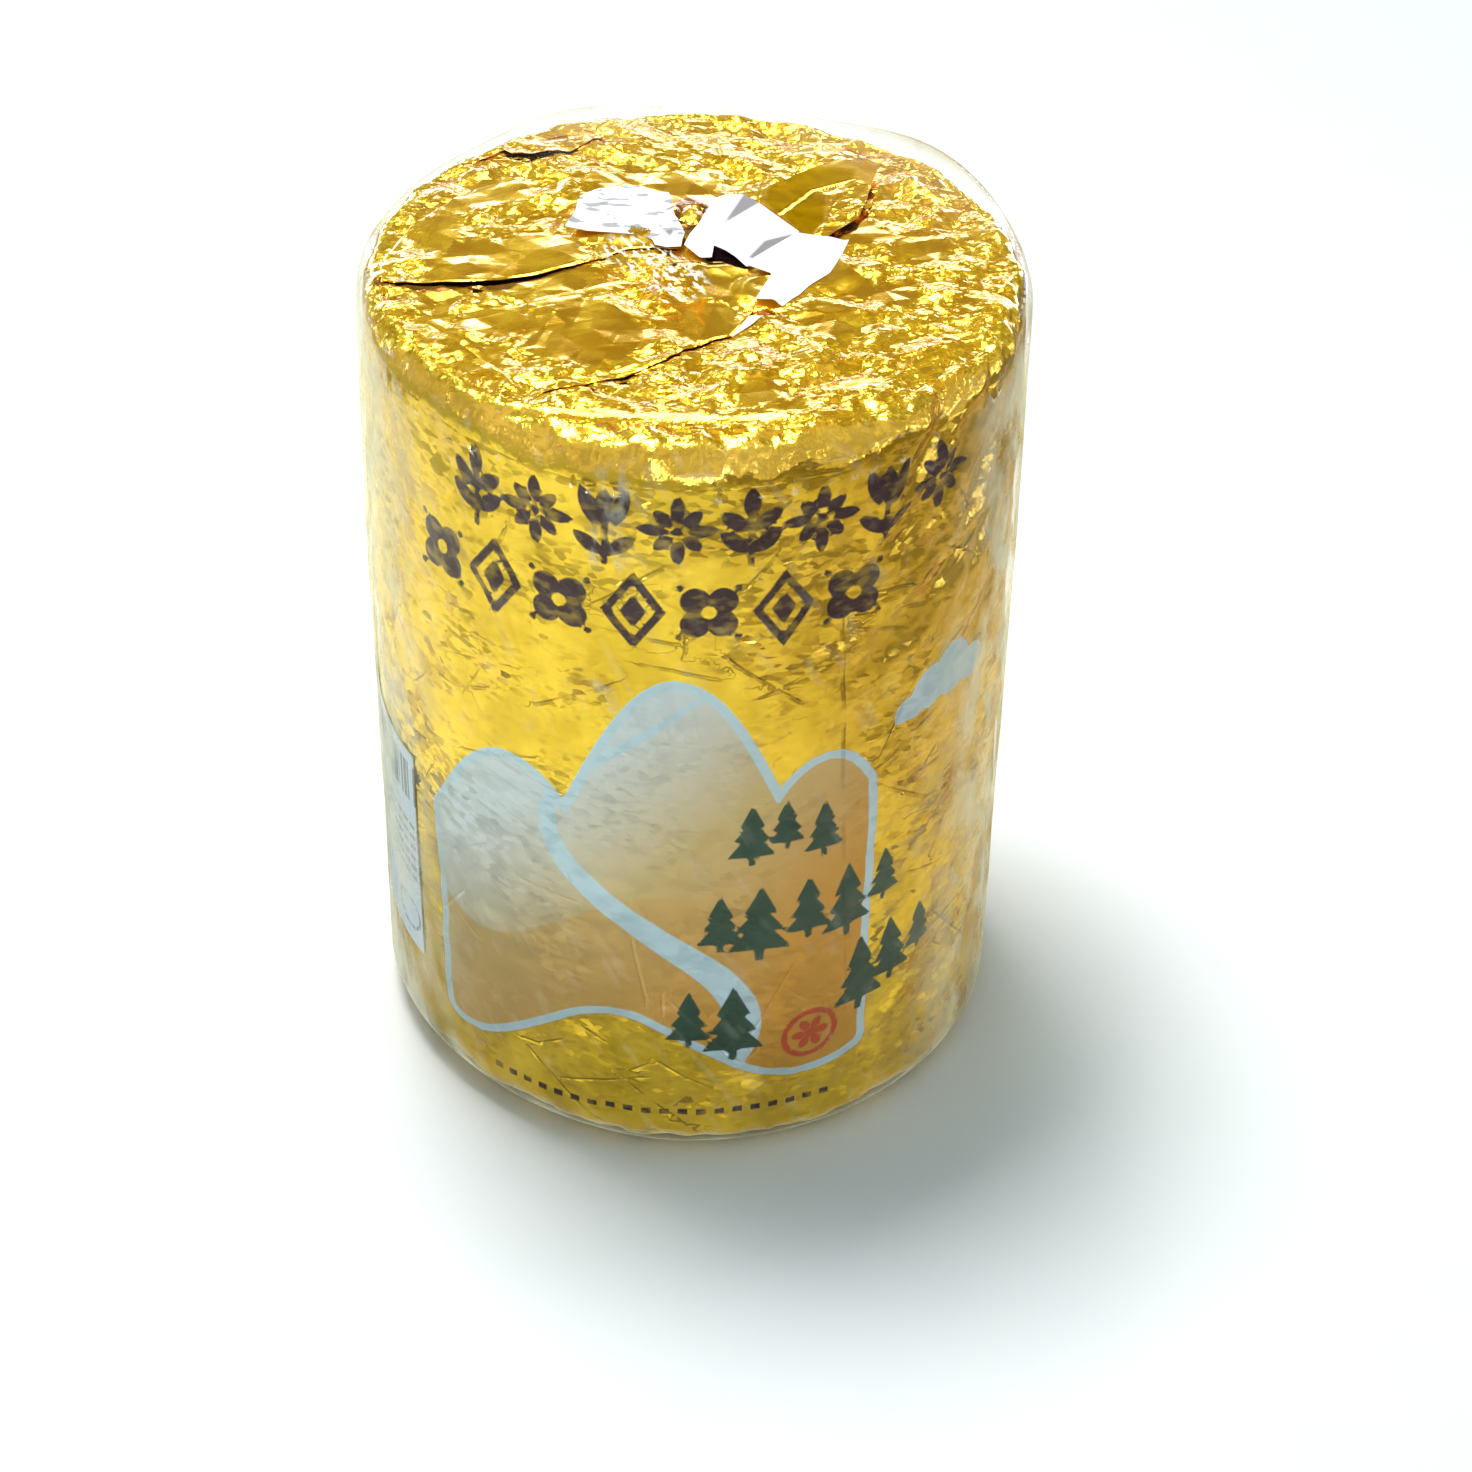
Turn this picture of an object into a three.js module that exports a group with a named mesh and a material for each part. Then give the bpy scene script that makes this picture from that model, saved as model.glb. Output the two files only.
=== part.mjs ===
import * as THREE from 'three';

// A drum of blue cheese wrapped in gold foil. The ends of the foil are folded over on the top, where some
// tips turn back and show the silver inside of the foil. A paper label is stuck on the left of the side,
// and a clear film lies over the side and the top.
// Millimetres, +Z up. The printed side faces -Y. The origin is on the table, under the middle of the outline.
// An angle on the side is measured from the front (-Y) towards the right (+X).

// Driving dimensions of the drum
const DRUM_RADIUS = 65;
const DRUM_HEIGHT = 174;
const TOP_ROUNDING = 4;
const BASE_ROUNDING = 7;
const SLUMPED_CORNER_ROUNDING = 4;
const SLUMPED_CORNER_ANGLE = -50;
const BARREL_BULGE = 0.4;

// How far the rim of the top stands off its mean height, and where round the drum
const RIM_DROP = 1.6;
const RIM_DROP_ANGLE = 152;
const RIM_RISE = 1.0;
const RIM_RISE_ANGLE = -165;
const RIM_SPREAD = 34;

// The small dark pit where the folded ends of the foil meet
const PIT_X = 6;
const PIT_Y = 3;
const PIT_DEPTH = 3.5;

// How deep the facets of the crumpled foil lie below its smooth outline
const SIDE_CRUMPLE = 0.7;
const TOP_CRUMPLE = 1.2;

// Thin layers on the foil
const LAYER_CLEARANCE = 0.3;
const FOIL_LEAF_THICKNESS = 0.5;
const SILVER_THICKNESS = 0.4;
const LEAF_RISE_LENGTH = 12;
const LABEL_THICKNESS = 0.3;
const FILM_THICKNESS = 0.25;

// The label, by angle and height
const LABEL_RIGHT_ANGLE = -57.5;
const LABEL_LEFT_ANGLE = -92.5;
const LABEL_BOTTOM = 27;
const LABEL_TOP = 80;

// How far the film stands off the foil on the side, on the rim, over the folds, and in its two loose wings
const FILM_SIDE_GAP = 0.95;
const FILM_RIM_GAP = 1.6;
const FILM_CENTRE_GAP = 4.4;
const FILM_SLACK = 0.5;
const FILM_WINGS = [
  { angle: -157, spread: 13, reach: 1.8 },
  { angle: 134, spread: 22, reach: 2.6 },
];

// How finely the surfaces are split
const DRUM_SEGMENTS = 84;
const DRUM_SIDE_ROWS = 12;
const FILM_SEGMENTS = 48;

const GOLD = { color: 0xd1a538, roughness: 0.28, metalness: 1 };
const SILVER = { color: 0xe6e8ea, roughness: 0.3, metalness: 1 };
const PAPER = { color: 0xdde6ec, roughness: 0.6, metalness: 0 };
const FILM = { color: 0xffffff, roughness: 0.1, metalness: 0, transparent: true, opacity: 0.3 };

const radians = THREE.MathUtils.degToRad;

// Repeatable random numbers from 0 to 1
function seededRandom(seed) {
  let state = seed;
  return () => {
    state = (state + 0x6d2b79f5) | 0;
    let mixed = Math.imul(state ^ (state >>> 15), 1 | state);
    mixed = (mixed + Math.imul(mixed ^ (mixed >>> 7), 61 | mixed)) ^ mixed;
    return ((mixed ^ (mixed >>> 14)) >>> 0) / 4294967296;
  };
}

// A smooth hump of height 1 round an angle, with both in degrees
function hump(angle, centre, spread) {
  const away = THREE.MathUtils.euclideanModulo(angle - centre + 180, 360) - 180;
  return Math.exp(-((away / spread) ** 2));
}

function rimHeight(angle) {
  const drop = RIM_DROP * hump(angle, RIM_DROP_ANGLE, RIM_SPREAD);
  const rise = RIM_RISE * hump(angle, RIM_RISE_ANGLE, RIM_SPREAD);
  return DRUM_HEIGHT + rise - drop;
}

function baseRounding(angle) {
  return BASE_ROUNDING + SLUMPED_CORNER_ROUNDING * hump(angle, SLUMPED_CORNER_ANGLE, 40);
}

// The uneven side of the drum
function wallRadius(angle, z) {
  const turn = radians(angle);
  const oval = 0.35 * Math.cos(2 * turn - 0.6) + 0.25 * Math.cos(3 * turn + 1.1);
  const waves = 0.25 * Math.sin(2 * turn + z / 27) + 0.2 * Math.cos(5 * turn - z / 33);
  return DRUM_RADIUS + oval + waves + BARREL_BULGE * Math.sin((Math.PI * z) / DRUM_HEIGHT);
}

// The smooth height of the top over a point of the plan
function topHeight(x, y) {
  const angle = THREE.MathUtils.radToDeg(Math.atan2(x, -y));
  const share = Math.min(1, Math.hypot(x, y) / (DRUM_RADIUS - TOP_ROUNDING));
  return DRUM_HEIGHT + (rimHeight(angle) - DRUM_HEIGHT) * share ** 2;
}

// A point of the drum's outline, moved outwards by a gap. The station runs 0 to 1 up the base rounding,
// 1 to 2 up the side, 2 to 3 over the top rounding and 3 to 4 across the top to the pit.
function outlinePoint(angle, station, gap) {
  const turn = radians(angle);
  const place = (radius, z) => new THREE.Vector3(radius * Math.sin(turn), -radius * Math.cos(turn), z);
  const base = baseRounding(angle);
  const rim = rimHeight(angle);
  if (station < 1) {
    const bend = (station * Math.PI) / 2;
    const radius = wallRadius(angle, base) - base + (base + gap) * Math.sin(bend);
    return place(radius, base - (base + gap) * Math.cos(bend));
  }
  if (station < 2) {
    const z = base + (station - 1) * (rim - TOP_ROUNDING - base);
    return place(wallRadius(angle, z) + gap, z);
  }
  const wall = wallRadius(angle, rim - TOP_ROUNDING);
  if (station < 3) {
    const bend = ((station - 2) * Math.PI) / 2;
    const reach = TOP_ROUNDING + gap;
    return place(wall - TOP_ROUNDING + reach * Math.cos(bend), rim - TOP_ROUNDING + reach * Math.sin(bend));
  }
  const point = place(wall - TOP_ROUNDING, 0);
  point.lerp(new THREE.Vector3(PIT_X, PIT_Y, 0), station - 3);
  point.z = topHeight(point.x, point.y) + gap;
  return point;
}

// A triangle mesh that is put together vertex by vertex
class Shell {
  constructor() {
    this.positions = [];
    this.faces = [];
  }

  vertex(point) {
    this.positions.push(point.x, point.y, point.z);
    return this.positions.length / 3 - 1;
  }

  triangle(a, b, c, inward) {
    this.faces.push(...(inward ? [a, c, b] : [a, b, c]));
  }

  quad(a, b, c, d, inward, otherDiagonal) {
    if (otherDiagonal) {
      this.triangle(a, b, d, inward);
      this.triangle(b, c, d, inward);
    } else {
      this.triangle(a, b, c, inward);
      this.triangle(a, c, d, inward);
    }
  }

  // Joins two rings, the upper one with as many vertices as the lower one or half as many
  joinRings(lower, upper, inward, random) {
    const count = lower.length;
    if (upper.length === count) {
      for (let i = 0; i < count; i += 1) {
        const next = (i + 1) % count;
        this.quad(lower[i], lower[next], upper[next], upper[i], inward, random() < 0.5);
      }
      return;
    }
    for (let i = 0; i < upper.length; i += 1) {
      const middle = lower[2 * i + 1];
      const nextUpper = upper[(i + 1) % upper.length];
      this.triangle(lower[2 * i], middle, upper[i], inward);
      this.triangle(middle, nextUpper, upper[i], inward);
      this.triangle(middle, lower[(2 * i + 2) % count], nextUpper, inward);
    }
  }

  // Closes a ring with a fan
  closeRing(ring, pole, inward) {
    for (let i = 0; i < ring.length; i += 1) {
      this.triangle(ring[i], ring[(i + 1) % ring.length], pole, inward);
    }
  }

  geometry() {
    const geometry = new THREE.BufferGeometry();
    geometry.setAttribute('position', new THREE.Float32BufferAttribute(this.positions, 3));
    geometry.setIndex(this.faces);
    geometry.computeVertexNormals();
    return geometry;
  }
}

function namedMesh(name, shell, finish) {
  const mesh = new THREE.Mesh(shell.geometry(), new THREE.MeshStandardMaterial(finish));
  mesh.name = name;
  return mesh;
}

// Stations of the rings from the base to the pit, each with the number of its segments
function ringStations(segments, sideRows, baseSteps, topSteps) {
  const rings = [];
  for (let i = 0; i < baseSteps.length; i += 1) {
    rings.push({ station: baseSteps[i], segments });
  }
  for (let i = 0; i < sideRows; i += 1) {
    rings.push({ station: 1 + i / sideRows, segments });
  }
  for (let i = 0; i < 3; i += 1) {
    rings.push({ station: 2 + i / 3, segments });
  }
  for (const step of topSteps) {
    rings.push({ station: 3 + step.share, segments: segments / step.divide });
  }
  return rings;
}

// The drum of cheese in its crumpled foil, with facets that lie inside the smooth outline
function makeDrum() {
  const random = seededRandom(41);
  const shell = new Shell();
  const topSteps = [
    { share: 0, divide: 1 },
    { share: 0.12, divide: 1 },
    { share: 0.24, divide: 1 },
    { share: 0.36, divide: 1 },
    { share: 0.49, divide: 2 },
    { share: 0.62, divide: 2 },
    { share: 0.75, divide: 2 },
    { share: 0.87, divide: 4 },
  ];
  const baseSteps = [0, 0.25, 0.5, 0.75];
  const stations = ringStations(DRUM_SEGMENTS, DRUM_SIDE_ROWS, baseSteps, topSteps);
  const rings = stations.map(({ station, segments }) => {
    const ring = [];
    for (let i = 0; i < segments; i += 1) {
      const step = 360 / segments;
      const loose = station > 0 ? 0.3 : 0;
      const angle = i * step + (random() - 0.5) * step * loose;
      const depth = station > 2.5 ? TOP_CRUMPLE : SIDE_CRUMPLE;
      const fade = Math.min(1, station * 2);
      ring.push(shell.vertex(outlinePoint(angle, station, -random() * depth * fade)));
    }
    return ring;
  });
  const pit = [];
  const pitSegments = DRUM_SEGMENTS / 4;
  for (let i = 0; i < pitSegments; i += 1) {
    const point = outlinePoint((i * 360) / pitSegments, 3.94, 0);
    point.z -= PIT_DEPTH * 0.8;
    pit.push(shell.vertex(point));
  }
  rings.push(pit);
  for (let i = 0; i + 1 < rings.length; i += 1) {
    shell.joinRings(rings[i], rings[i + 1], false, random);
  }
  const pitFloor = new THREE.Vector3(PIT_X, PIT_Y, topHeight(PIT_X, PIT_Y) - PIT_DEPTH);
  shell.closeRing(pit, shell.vertex(pitFloor), false);
  shell.closeRing(rings[0], shell.vertex(new THREE.Vector3(0, 0, 0)), true);
  return namedMesh('foil_wrapped_cheese', shell, GOLD);
}

function filmGap(angle, station) {
  let wing = 0;
  for (const { angle: centre, spread, reach } of FILM_WINGS) {
    wing += reach * hump(angle, centre, spread);
  }
  const nearRim = Math.exp(-(((station - 2.5) / 0.55) ** 2));
  if (station <= 2) {
    return FILM_SIDE_GAP + wing * nearRim;
  }
  const inward = THREE.MathUtils.smoothstep(station, 2.95, 3.3);
  const level = THREE.MathUtils.lerp(FILM_RIM_GAP, FILM_CENTRE_GAP, inward);
  return level + wing * nearRim;
}

// The clear film: a thin skin over the side and the top, open underneath
function makeFilm() {
  const shell = new Shell();
  const topSteps = [
    { share: 0, divide: 1 },
    { share: 0.2, divide: 1 },
    { share: 0.42, divide: 1 },
    { share: 0.66, divide: 2 },
    { share: 0.86, divide: 4 },
  ];
  const stations = ringStations(FILM_SEGMENTS, 6, [0.55, 0.78], topSteps);
  const layer = (extra, inward) => {
    const random = seededRandom(7);
    const rings = stations.map(({ station, segments }) => {
      const ring = [];
      for (let i = 0; i < segments; i += 1) {
        const angle = (i * 360) / segments;
        const gap = filmGap(angle, station) + random() * FILM_SLACK + extra;
        ring.push(shell.vertex(outlinePoint(angle, station, gap)));
      }
      return ring;
    });
    for (let i = 0; i + 1 < rings.length; i += 1) {
      shell.joinRings(rings[i], rings[i + 1], inward, random);
    }
    const pole = outlinePoint(0, 4, FILM_CENTRE_GAP + extra);
    shell.closeRing(rings[rings.length - 1], shell.vertex(pole), inward);
    return rings[0];
  };
  const outside = layer(FILM_THICKNESS, false);
  const inside = layer(0, true);
  for (let i = 0; i < outside.length; i += 1) {
    const next = (i + 1) % outside.length;
    shell.quad(inside[i], inside[next], outside[next], outside[i], false, false);
  }
  return namedMesh('film_overwrap', shell, FILM);
}

// A thin closed sheet from two layers of the same grid, where the point function takes u, v and the layer
function makeSheet(name, finish, columns, rows, pointAt) {
  const shell = new Shell();
  const layers = [0, 1].map((layer) => {
    const grid = [];
    for (let j = 0; j <= rows; j += 1) {
      const line = [];
      for (let i = 0; i <= columns; i += 1) {
        line.push(shell.vertex(pointAt(i / columns, j / rows, layer)));
      }
      grid.push(line);
    }
    return grid;
  });
  const [under, over] = layers;
  for (let j = 0; j < rows; j += 1) {
    for (let i = 0; i < columns; i += 1) {
      const other = (i + j) % 2 === 0;
      shell.quad(over[j][i], over[j][i + 1], over[j + 1][i + 1], over[j + 1][i], false, other);
      shell.quad(under[j][i], under[j][i + 1], under[j + 1][i + 1], under[j + 1][i], true, other);
    }
  }
  for (let i = 0; i < columns; i += 1) {
    shell.quad(under[0][i], under[0][i + 1], over[0][i + 1], over[0][i], false, false);
    shell.quad(under[rows][i], under[rows][i + 1], over[rows][i + 1], over[rows][i], true, false);
  }
  for (let j = 0; j < rows; j += 1) {
    shell.quad(under[j][0], under[j + 1][0], over[j + 1][0], over[j][0], true, false);
    shell.quad(under[j][columns], under[j + 1][columns], over[j + 1][columns], over[j][columns], false, false);
  }
  return namedMesh(name, shell, finish);
}

function makeLabel() {
  return makeSheet('side_label', PAPER, 12, 6, (u, v, layer) => {
    const angle = THREE.MathUtils.lerp(LABEL_LEFT_ANGLE, LABEL_RIGHT_ANGLE, u);
    const z = THREE.MathUtils.lerp(LABEL_BOTTOM, LABEL_TOP, v);
    const radius = wallRadius(angle, z) + LAYER_CLEARANCE + layer * LABEL_THICKNESS;
    const turn = radians(angle);
    return new THREE.Vector3(radius * Math.sin(turn), -radius * Math.cos(turn), z);
  });
}

// The point at a share of the length of a bent line
function pointAlong(corners, share) {
  const path = new THREE.CurvePath();
  for (let i = 0; i + 1 < corners.length; i += 1) {
    const from = new THREE.Vector2(...corners[i]);
    path.add(new THREE.LineCurve(from, new THREE.Vector2(...corners[i + 1])));
  }
  return path.getPointAt(share);
}

// A leaf of foil on the top, between a near edge and a far edge that run from its start to its end.
// near and far list the corners of the edges in plan, seen with the near edge on the right of the way.
// level is the height of its underside over the top, lift is added towards the near edge,
// and creases are folds across it with the given height. Both grow from nothing at the rim of the drum.
function makeLeaf(leaf) {
  const { name, finish, thickness, near, far, level, lift, creases, creaseHeight, columns, rows } = leaf;
  return makeSheet(name, finish, columns, rows, (u, v, layer) => {
    const plan = pointAlong(near, u).lerp(pointAlong(far, u), v);
    const phase = THREE.MathUtils.euclideanModulo(u * creases + v * 0.8, 1);
    const crease = creaseHeight * (1 - Math.abs(2 * phase - 1));
    const fade = Math.min(1, (DRUM_RADIUS - plan.length()) / LEAF_RISE_LENGTH);
    const raised = fade * (lift * (1 - v) ** 2 + crease);
    const z = topHeight(plan.x, plan.y) + level + raised + layer * thickness;
    return new THREE.Vector3(plan.x, plan.y, z);
  });
}

// The folded ends and turned-back tips of the foil
const LEAVES = [
  {
    name: 'back_left_flap',
    finish: GOLD,
    thickness: FOIL_LEAF_THICKNESS,
    near: [[-60, -8], [-51, -9.4], [-44, -9], [-30, -4.4], [-18, 1.8], [-13.5, 6.4], [-4, 7.6]],
    far: [[-60.5, -3], [-57, 19], [-45, 37], [-34, 41], [-20, 47], [-9, 34], [-5, 14]],
    level: LAYER_CLEARANCE,
    lift: 0.9,
    creases: 4,
    creaseHeight: 0.35,
    columns: 20,
    rows: 8,
  },
  {
    name: 'front_flap',
    finish: GOLD,
    thickness: FOIL_LEAF_THICKNESS,
    near: [[-33, -50], [-17, -40.8], [-6, -34.6], [4, -25.2], [8, -22.5], [11.6, -13.3], [14.8, -4]],
    far: [[-57, -18], [-44, -12.5], [-30, -8], [-18, -2], [-11, 3.4], [-2, 5], [7.6, 0.4]],
    level: LAYER_CLEARANCE,
    lift: 1.5,
    creases: 5,
    creaseHeight: 0.35,
    columns: 20,
    rows: 8,
  },
  {
    name: 'right_leaf',
    finish: GOLD,
    thickness: FOIL_LEAF_THICKNESS,
    near: [[22.2, 7.6], [27.6, 14], [32, 19], [34, 26.4], [36.6, 37]],
    far: [[14.6, 24.5], [14.8, 31], [18.4, 34.5], [23, 39], [29, 43.4]],
    level: LAYER_CLEARANCE,
    lift: 1.6,
    creases: 1,
    creaseHeight: 0.9,
    columns: 8,
    rows: 5,
  },
  {
    name: 'back_rim_fold',
    finish: GOLD,
    thickness: FOIL_LEAF_THICKNESS,
    near: [[-46, 38.6], [-38.5, 43.6], [-28, 46], [-19.6, 51]],
    far: [[-45, 41.2], [-37.6, 47.6], [-28, 53.2], [-18.6, 57]],
    level: LAYER_CLEARANCE,
    lift: 0.7,
    creases: 3,
    creaseHeight: 0.3,
    columns: 8,
    rows: 2,
  },
  {
    name: 'silver_left_tip',
    finish: SILVER,
    thickness: SILVER_THICKNESS,
    near: [[-25.3, 13.6], [-20, 11.9], [-6.9, 11.3], [-1.8, 9]],
    far: [[-22.6, 21.5], [-21.6, 25.7], [-11.2, 29.8], [-5.8, 27.6], [-3.6, 19]],
    level: 2.1,
    lift: 0.2,
    creases: 3,
    creaseHeight: 0.35,
    columns: 9,
    rows: 4,
  },
  {
    name: 'silver_back_tip',
    finish: SILVER,
    thickness: SILVER_THICKNESS,
    near: [[-1.2, 6.6], [3, 7.6], [5.2, 5.4], [9.4, 0.8], [13.2, 0.6]],
    far: [[-0.6, 12], [2.4, 21.3], [4.4, 26.6], [9.6, 27.6], [13, 23], [19.2, 12.6]],
    level: 0.8,
    lift: 0.6,
    creases: 2,
    creaseHeight: 0.9,
    columns: 10,
    rows: 6,
  },
  {
    name: 'silver_right_tip',
    finish: SILVER,
    thickness: SILVER_THICKNESS,
    near: [[16.9, -13.5], [22.9, -5.5], [26.1, -1.7], [27.5, 2.2], [29.8, 11.6], [25.5, 10.2], [22.6, 8.2]],
    far: [[12.4, -12.9], [14.6, -4.6], [15, -2.6], [16.4, 2.4], [19.9, 10.6]],
    level: LAYER_CLEARANCE,
    lift: 0.2,
    creases: 1,
    creaseHeight: 0.3,
    columns: 10,
    rows: 4,
  },
  {
    name: 'silver_front_tip',
    finish: SILVER,
    thickness: SILVER_THICKNESS,
    near: [[8.4, -23.8], [13.2, -18]],
    far: [[7.6, -23.2], [10.6, -17.2]],
    level: LAYER_CLEARANCE,
    lift: 0.3,
    creases: 1,
    creaseHeight: 0.1,
    columns: 3,
    rows: 2,
  },
];

// Moves the group so that the origin is under the middle of its outline
function centreOnTable(group) {
  const box = new THREE.Box3().setFromObject(group, true);
  const centre = box.getCenter(new THREE.Vector3());
  group.position.set(-centre.x, -centre.y, -box.min.z);
}

const cheese = new THREE.Group();
cheese.add(makeDrum());
for (const leaf of LEAVES) {
  cheese.add(makeLeaf(leaf));
}
cheese.add(makeLabel());
cheese.add(makeFilm());
centreOnTable(cheese);

export default cheese;
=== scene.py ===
import math

import bpy
import numpy as np
from mathutils import Matrix, Vector


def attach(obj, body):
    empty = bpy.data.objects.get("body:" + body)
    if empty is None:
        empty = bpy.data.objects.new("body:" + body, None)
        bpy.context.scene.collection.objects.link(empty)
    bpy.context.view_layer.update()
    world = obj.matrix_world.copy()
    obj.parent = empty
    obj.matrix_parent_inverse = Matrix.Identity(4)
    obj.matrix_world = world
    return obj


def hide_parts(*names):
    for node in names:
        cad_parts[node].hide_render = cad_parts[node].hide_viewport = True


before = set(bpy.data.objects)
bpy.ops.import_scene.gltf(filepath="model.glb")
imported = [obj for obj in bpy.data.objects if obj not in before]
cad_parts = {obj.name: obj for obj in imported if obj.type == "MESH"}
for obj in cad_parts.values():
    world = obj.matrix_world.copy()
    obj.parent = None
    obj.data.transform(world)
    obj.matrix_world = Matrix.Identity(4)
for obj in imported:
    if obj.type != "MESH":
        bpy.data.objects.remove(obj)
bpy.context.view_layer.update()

# A drum of blue cheese in crumpled gold foil, with folded ends and silver tips on the top, a paper label
# and a clear film. Lengths are in millimetres from the drum's axis until a mesh is made, in metres.
# Angles on the side are in degrees from the front (-Y) towards the right (+X).

MM = 0.001

# Where the drum's axis stands in the frame
AXIS = np.array([-0.18, 0.02, 0.0])

# Form of the drum, as in the solids, with a rounder rim, most so at the front and least at the back right
DRUM_RADIUS = 65
DRUM_HEIGHT = 174
TOP_ROUNDING = 4.2
NEAR_ROUNDING = 4.4
NEAR_ANGLE = -8
NEAR_SPREAD = 70
SHARP_RIM_ANGLE = 140
SHARP_RIM_SPREAD = 34
SHARP_RIM_SHARE = 0.6
BASE_ROUNDING = 7
SLUMPED_CORNER_ROUNDING = 4
SLUMPED_CORNER_ANGLE = -50
SLUMPED_CORNER_SPREAD = 40
BARREL_BULGE = 0.4
RIM_DROP = 0.3
RIM_DROP_ANGLE = 152
RIM_RISE = 0.35
RIM_RISE_ANGLE = -165
RIM_SPREAD = 34

# The pit in the top, a slit with its middle, direction, depth and size
PIT_X = 6
PIT_Y = 3
PIT_DIRECTION = (0.62, -0.78)
PIT_DEPTH = 3.5
PIT_HALF_LENGTH = 4.6
PIT_HALF_WIDTH = 1.9

# Stations of the outline: where the crumple of the top begins, the middle of the top rounding, where the
# top begins, and its middle
BLEND_STATION = 2.45
RIM_STATION = 2.5
TOP_STATION = 3
POLE_STATION = 4

# The film's thickness and its distance from the foil. It stands off in wings at the rim, each with its
# angle, spread and reach.
FILM_THICKNESS = 0.1
FILM_SIDE_GAP = 0.3
FILM_RIM_GAP = 0.6
FILM_CENTRE_GAP = 2.6
FILM_WINGS = [(-157, 13, 1.8), (134, 22, 2.6)]

# The film's patches on the top that are scuffed and have painted glare, a white veil, as x, y and radius
SCUFF_AND_GLARE_PATCHES = [(-13, 1, 5), (-9, -3, 6), (-4, -9, 6), (-1, -13, 4)]

# Its patches of painted glare on the side, a white veil, as places along the side and up, and radius
SIDE_GLARE_PATCHES = [(-13, 164, 6), (-15, 152, 5), (-16, 118, 4), (-2, 112, 4)]

# How finely the film is split, and the station from which it is finished as on the top
FILM_COLUMNS = 320
FILM_ROWS = 110
FILM_RIM_ROWS = 6
FILM_TOP_SPACING = 1.4
FILM_TOP_STATION = 2.6

# The label, and on it the bars and the lines as stretches of its height, and the ring
LABEL_RIGHT_ANGLE = -57.5
LABEL_LEFT_ANGLE = -92.5
LABEL_BOTTOM = 27
LABEL_TOP = 80
LABEL_BARS = (40, 50)
LABEL_LINES = (18, 34)
LABEL_RING_ACROSS = 33
LABEL_RING_UP = 8
LABEL_RING_RADIUS = 4
LABEL_RING_STRETCH = 1.4

# Thin sheets of foil
FOIL_THICKNESS = 0.12
LEAF_CLEARANCE = 0.12

# The printed design: the two rows of ornaments, the landscape and the row of dashes. Places along the side
# run from the front.
ROW_REACH = 110
PANEL_LEFT = -54
PANEL_RIGHT = 36
PANEL_ROUNDING = 4
DASH_ROW_HEIGHT = 11.5
DASH_ROW_MIDDLE = -6.0
DASH_ROW_REACH = 38.0
DASH_LENGTH = 1.9

# Camera of the photo: its place in metres, its turns in radians and its lens in millimetres
CAMERA_PLACE = Vector((0.0017, -0.59067, 0.517138))
CAMERA_PITCH = 0.659112
CAMERA_YAW = 0.013980
CAMERA_ROLL = 0.023596
CAMERA_LENS = 85.87

# The floor, and close above it the ground that only reflections show, with the middle of its lit part.
# Lengths here and of the room are in metres.
GROUND_REACH = 3.0
LIT_GROUND_HEIGHT = 0.002
LIT_GROUND_MIDDLE = (-0.02, -0.01, 0.0)

# What the foil reflects: the flat parts of the top a calm part of the room, and the near rim a bright one
ROOM_RADIUS = 2.9
CALM_DIRECTION = (0.0, 0.85, 0.53)
BRIGHT_DIRECTION = (-0.05, 0.57, 0.82)

# How finely the foil is split. The foil is two pieces, side and top, that meet under the rim.
SIDE_COLUMNS = 448
SIDE_ROWS = 190
TOP_COLUMNS = 2 * SIDE_COLUMNS
ROUNDING_ROWS = 25
TOP_SPACING = 0.46
SEAM_STATION = 2.0
COLLAR_STATION = 2.08
COLLAR_DEPTH = 0.3

# Parts of the top where the foil is smooth, as x, y and radius
SMOOTH_PATCHES = [
    (-20, -24, 13), (-38, -20, 7), (-30, 6, 9), (-47, 1, 5), (2, -19, 8), (-8, 12, 5), (26, -18, 7),
    (44, 10, 6), (-52, 18, 5), (-38, 30, 6), (38, -8, 5), (12, -44, 5), (24, 36, 5), (5, -5, 8),
]

# Parts of the top under the silver tips, where the foil lies flat, as x, y and radius
PRESSED_PATCHES = [(10, 12, 13), (22, 0, 9), (14, -8, 6), (-14, 20, 11)]

# The crumpled cup of foil between the silver tips, with painted brown shade in a ring round its middle
CUP_X = -0.8
CUP_Y = 20.3
CUP_RADIUS = 2.9
CUP_STRETCH = 2.0

# The long smooth fold by the near rim, as the corners of its line, its half width and its height
NEAR_FOLD = [(-46, -47.5), (-30, -50.5), (-12, -52.4), (6, -53), (16, -52)]
NEAR_FOLD_HALF_WIDTH = 1.0
NEAR_FOLD_HEIGHT = -0.5

# The hollow in front of the back left flap, where brown is painted as its shade, as corners of a polygon
HOLLOW_SHADE = [
    (-62, -5), (-61, -8.2), (-57, -7.8), (-52, -9.8), (-47.5, -9.6), (-44.6, -8.3), (-40.5, -8.2),
    (-38, -9.4), (-35.5, -8.6), (-33.5, -6.2), (-29.6, -4.3), (-23, -0.6), (-23, 2), (-37, -3), (-50, -4),
]

# The hole between the folded ends, painted dark as its shade, as corners of a polygon
HOLE = [(2.6, 4.4), (5.4, 2.5), (7.6, 1.6), (10.2, 0.2), (10.6, 2), (8.6, 5.4), (6.2, 8), (3.5, 9.5)]

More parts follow.
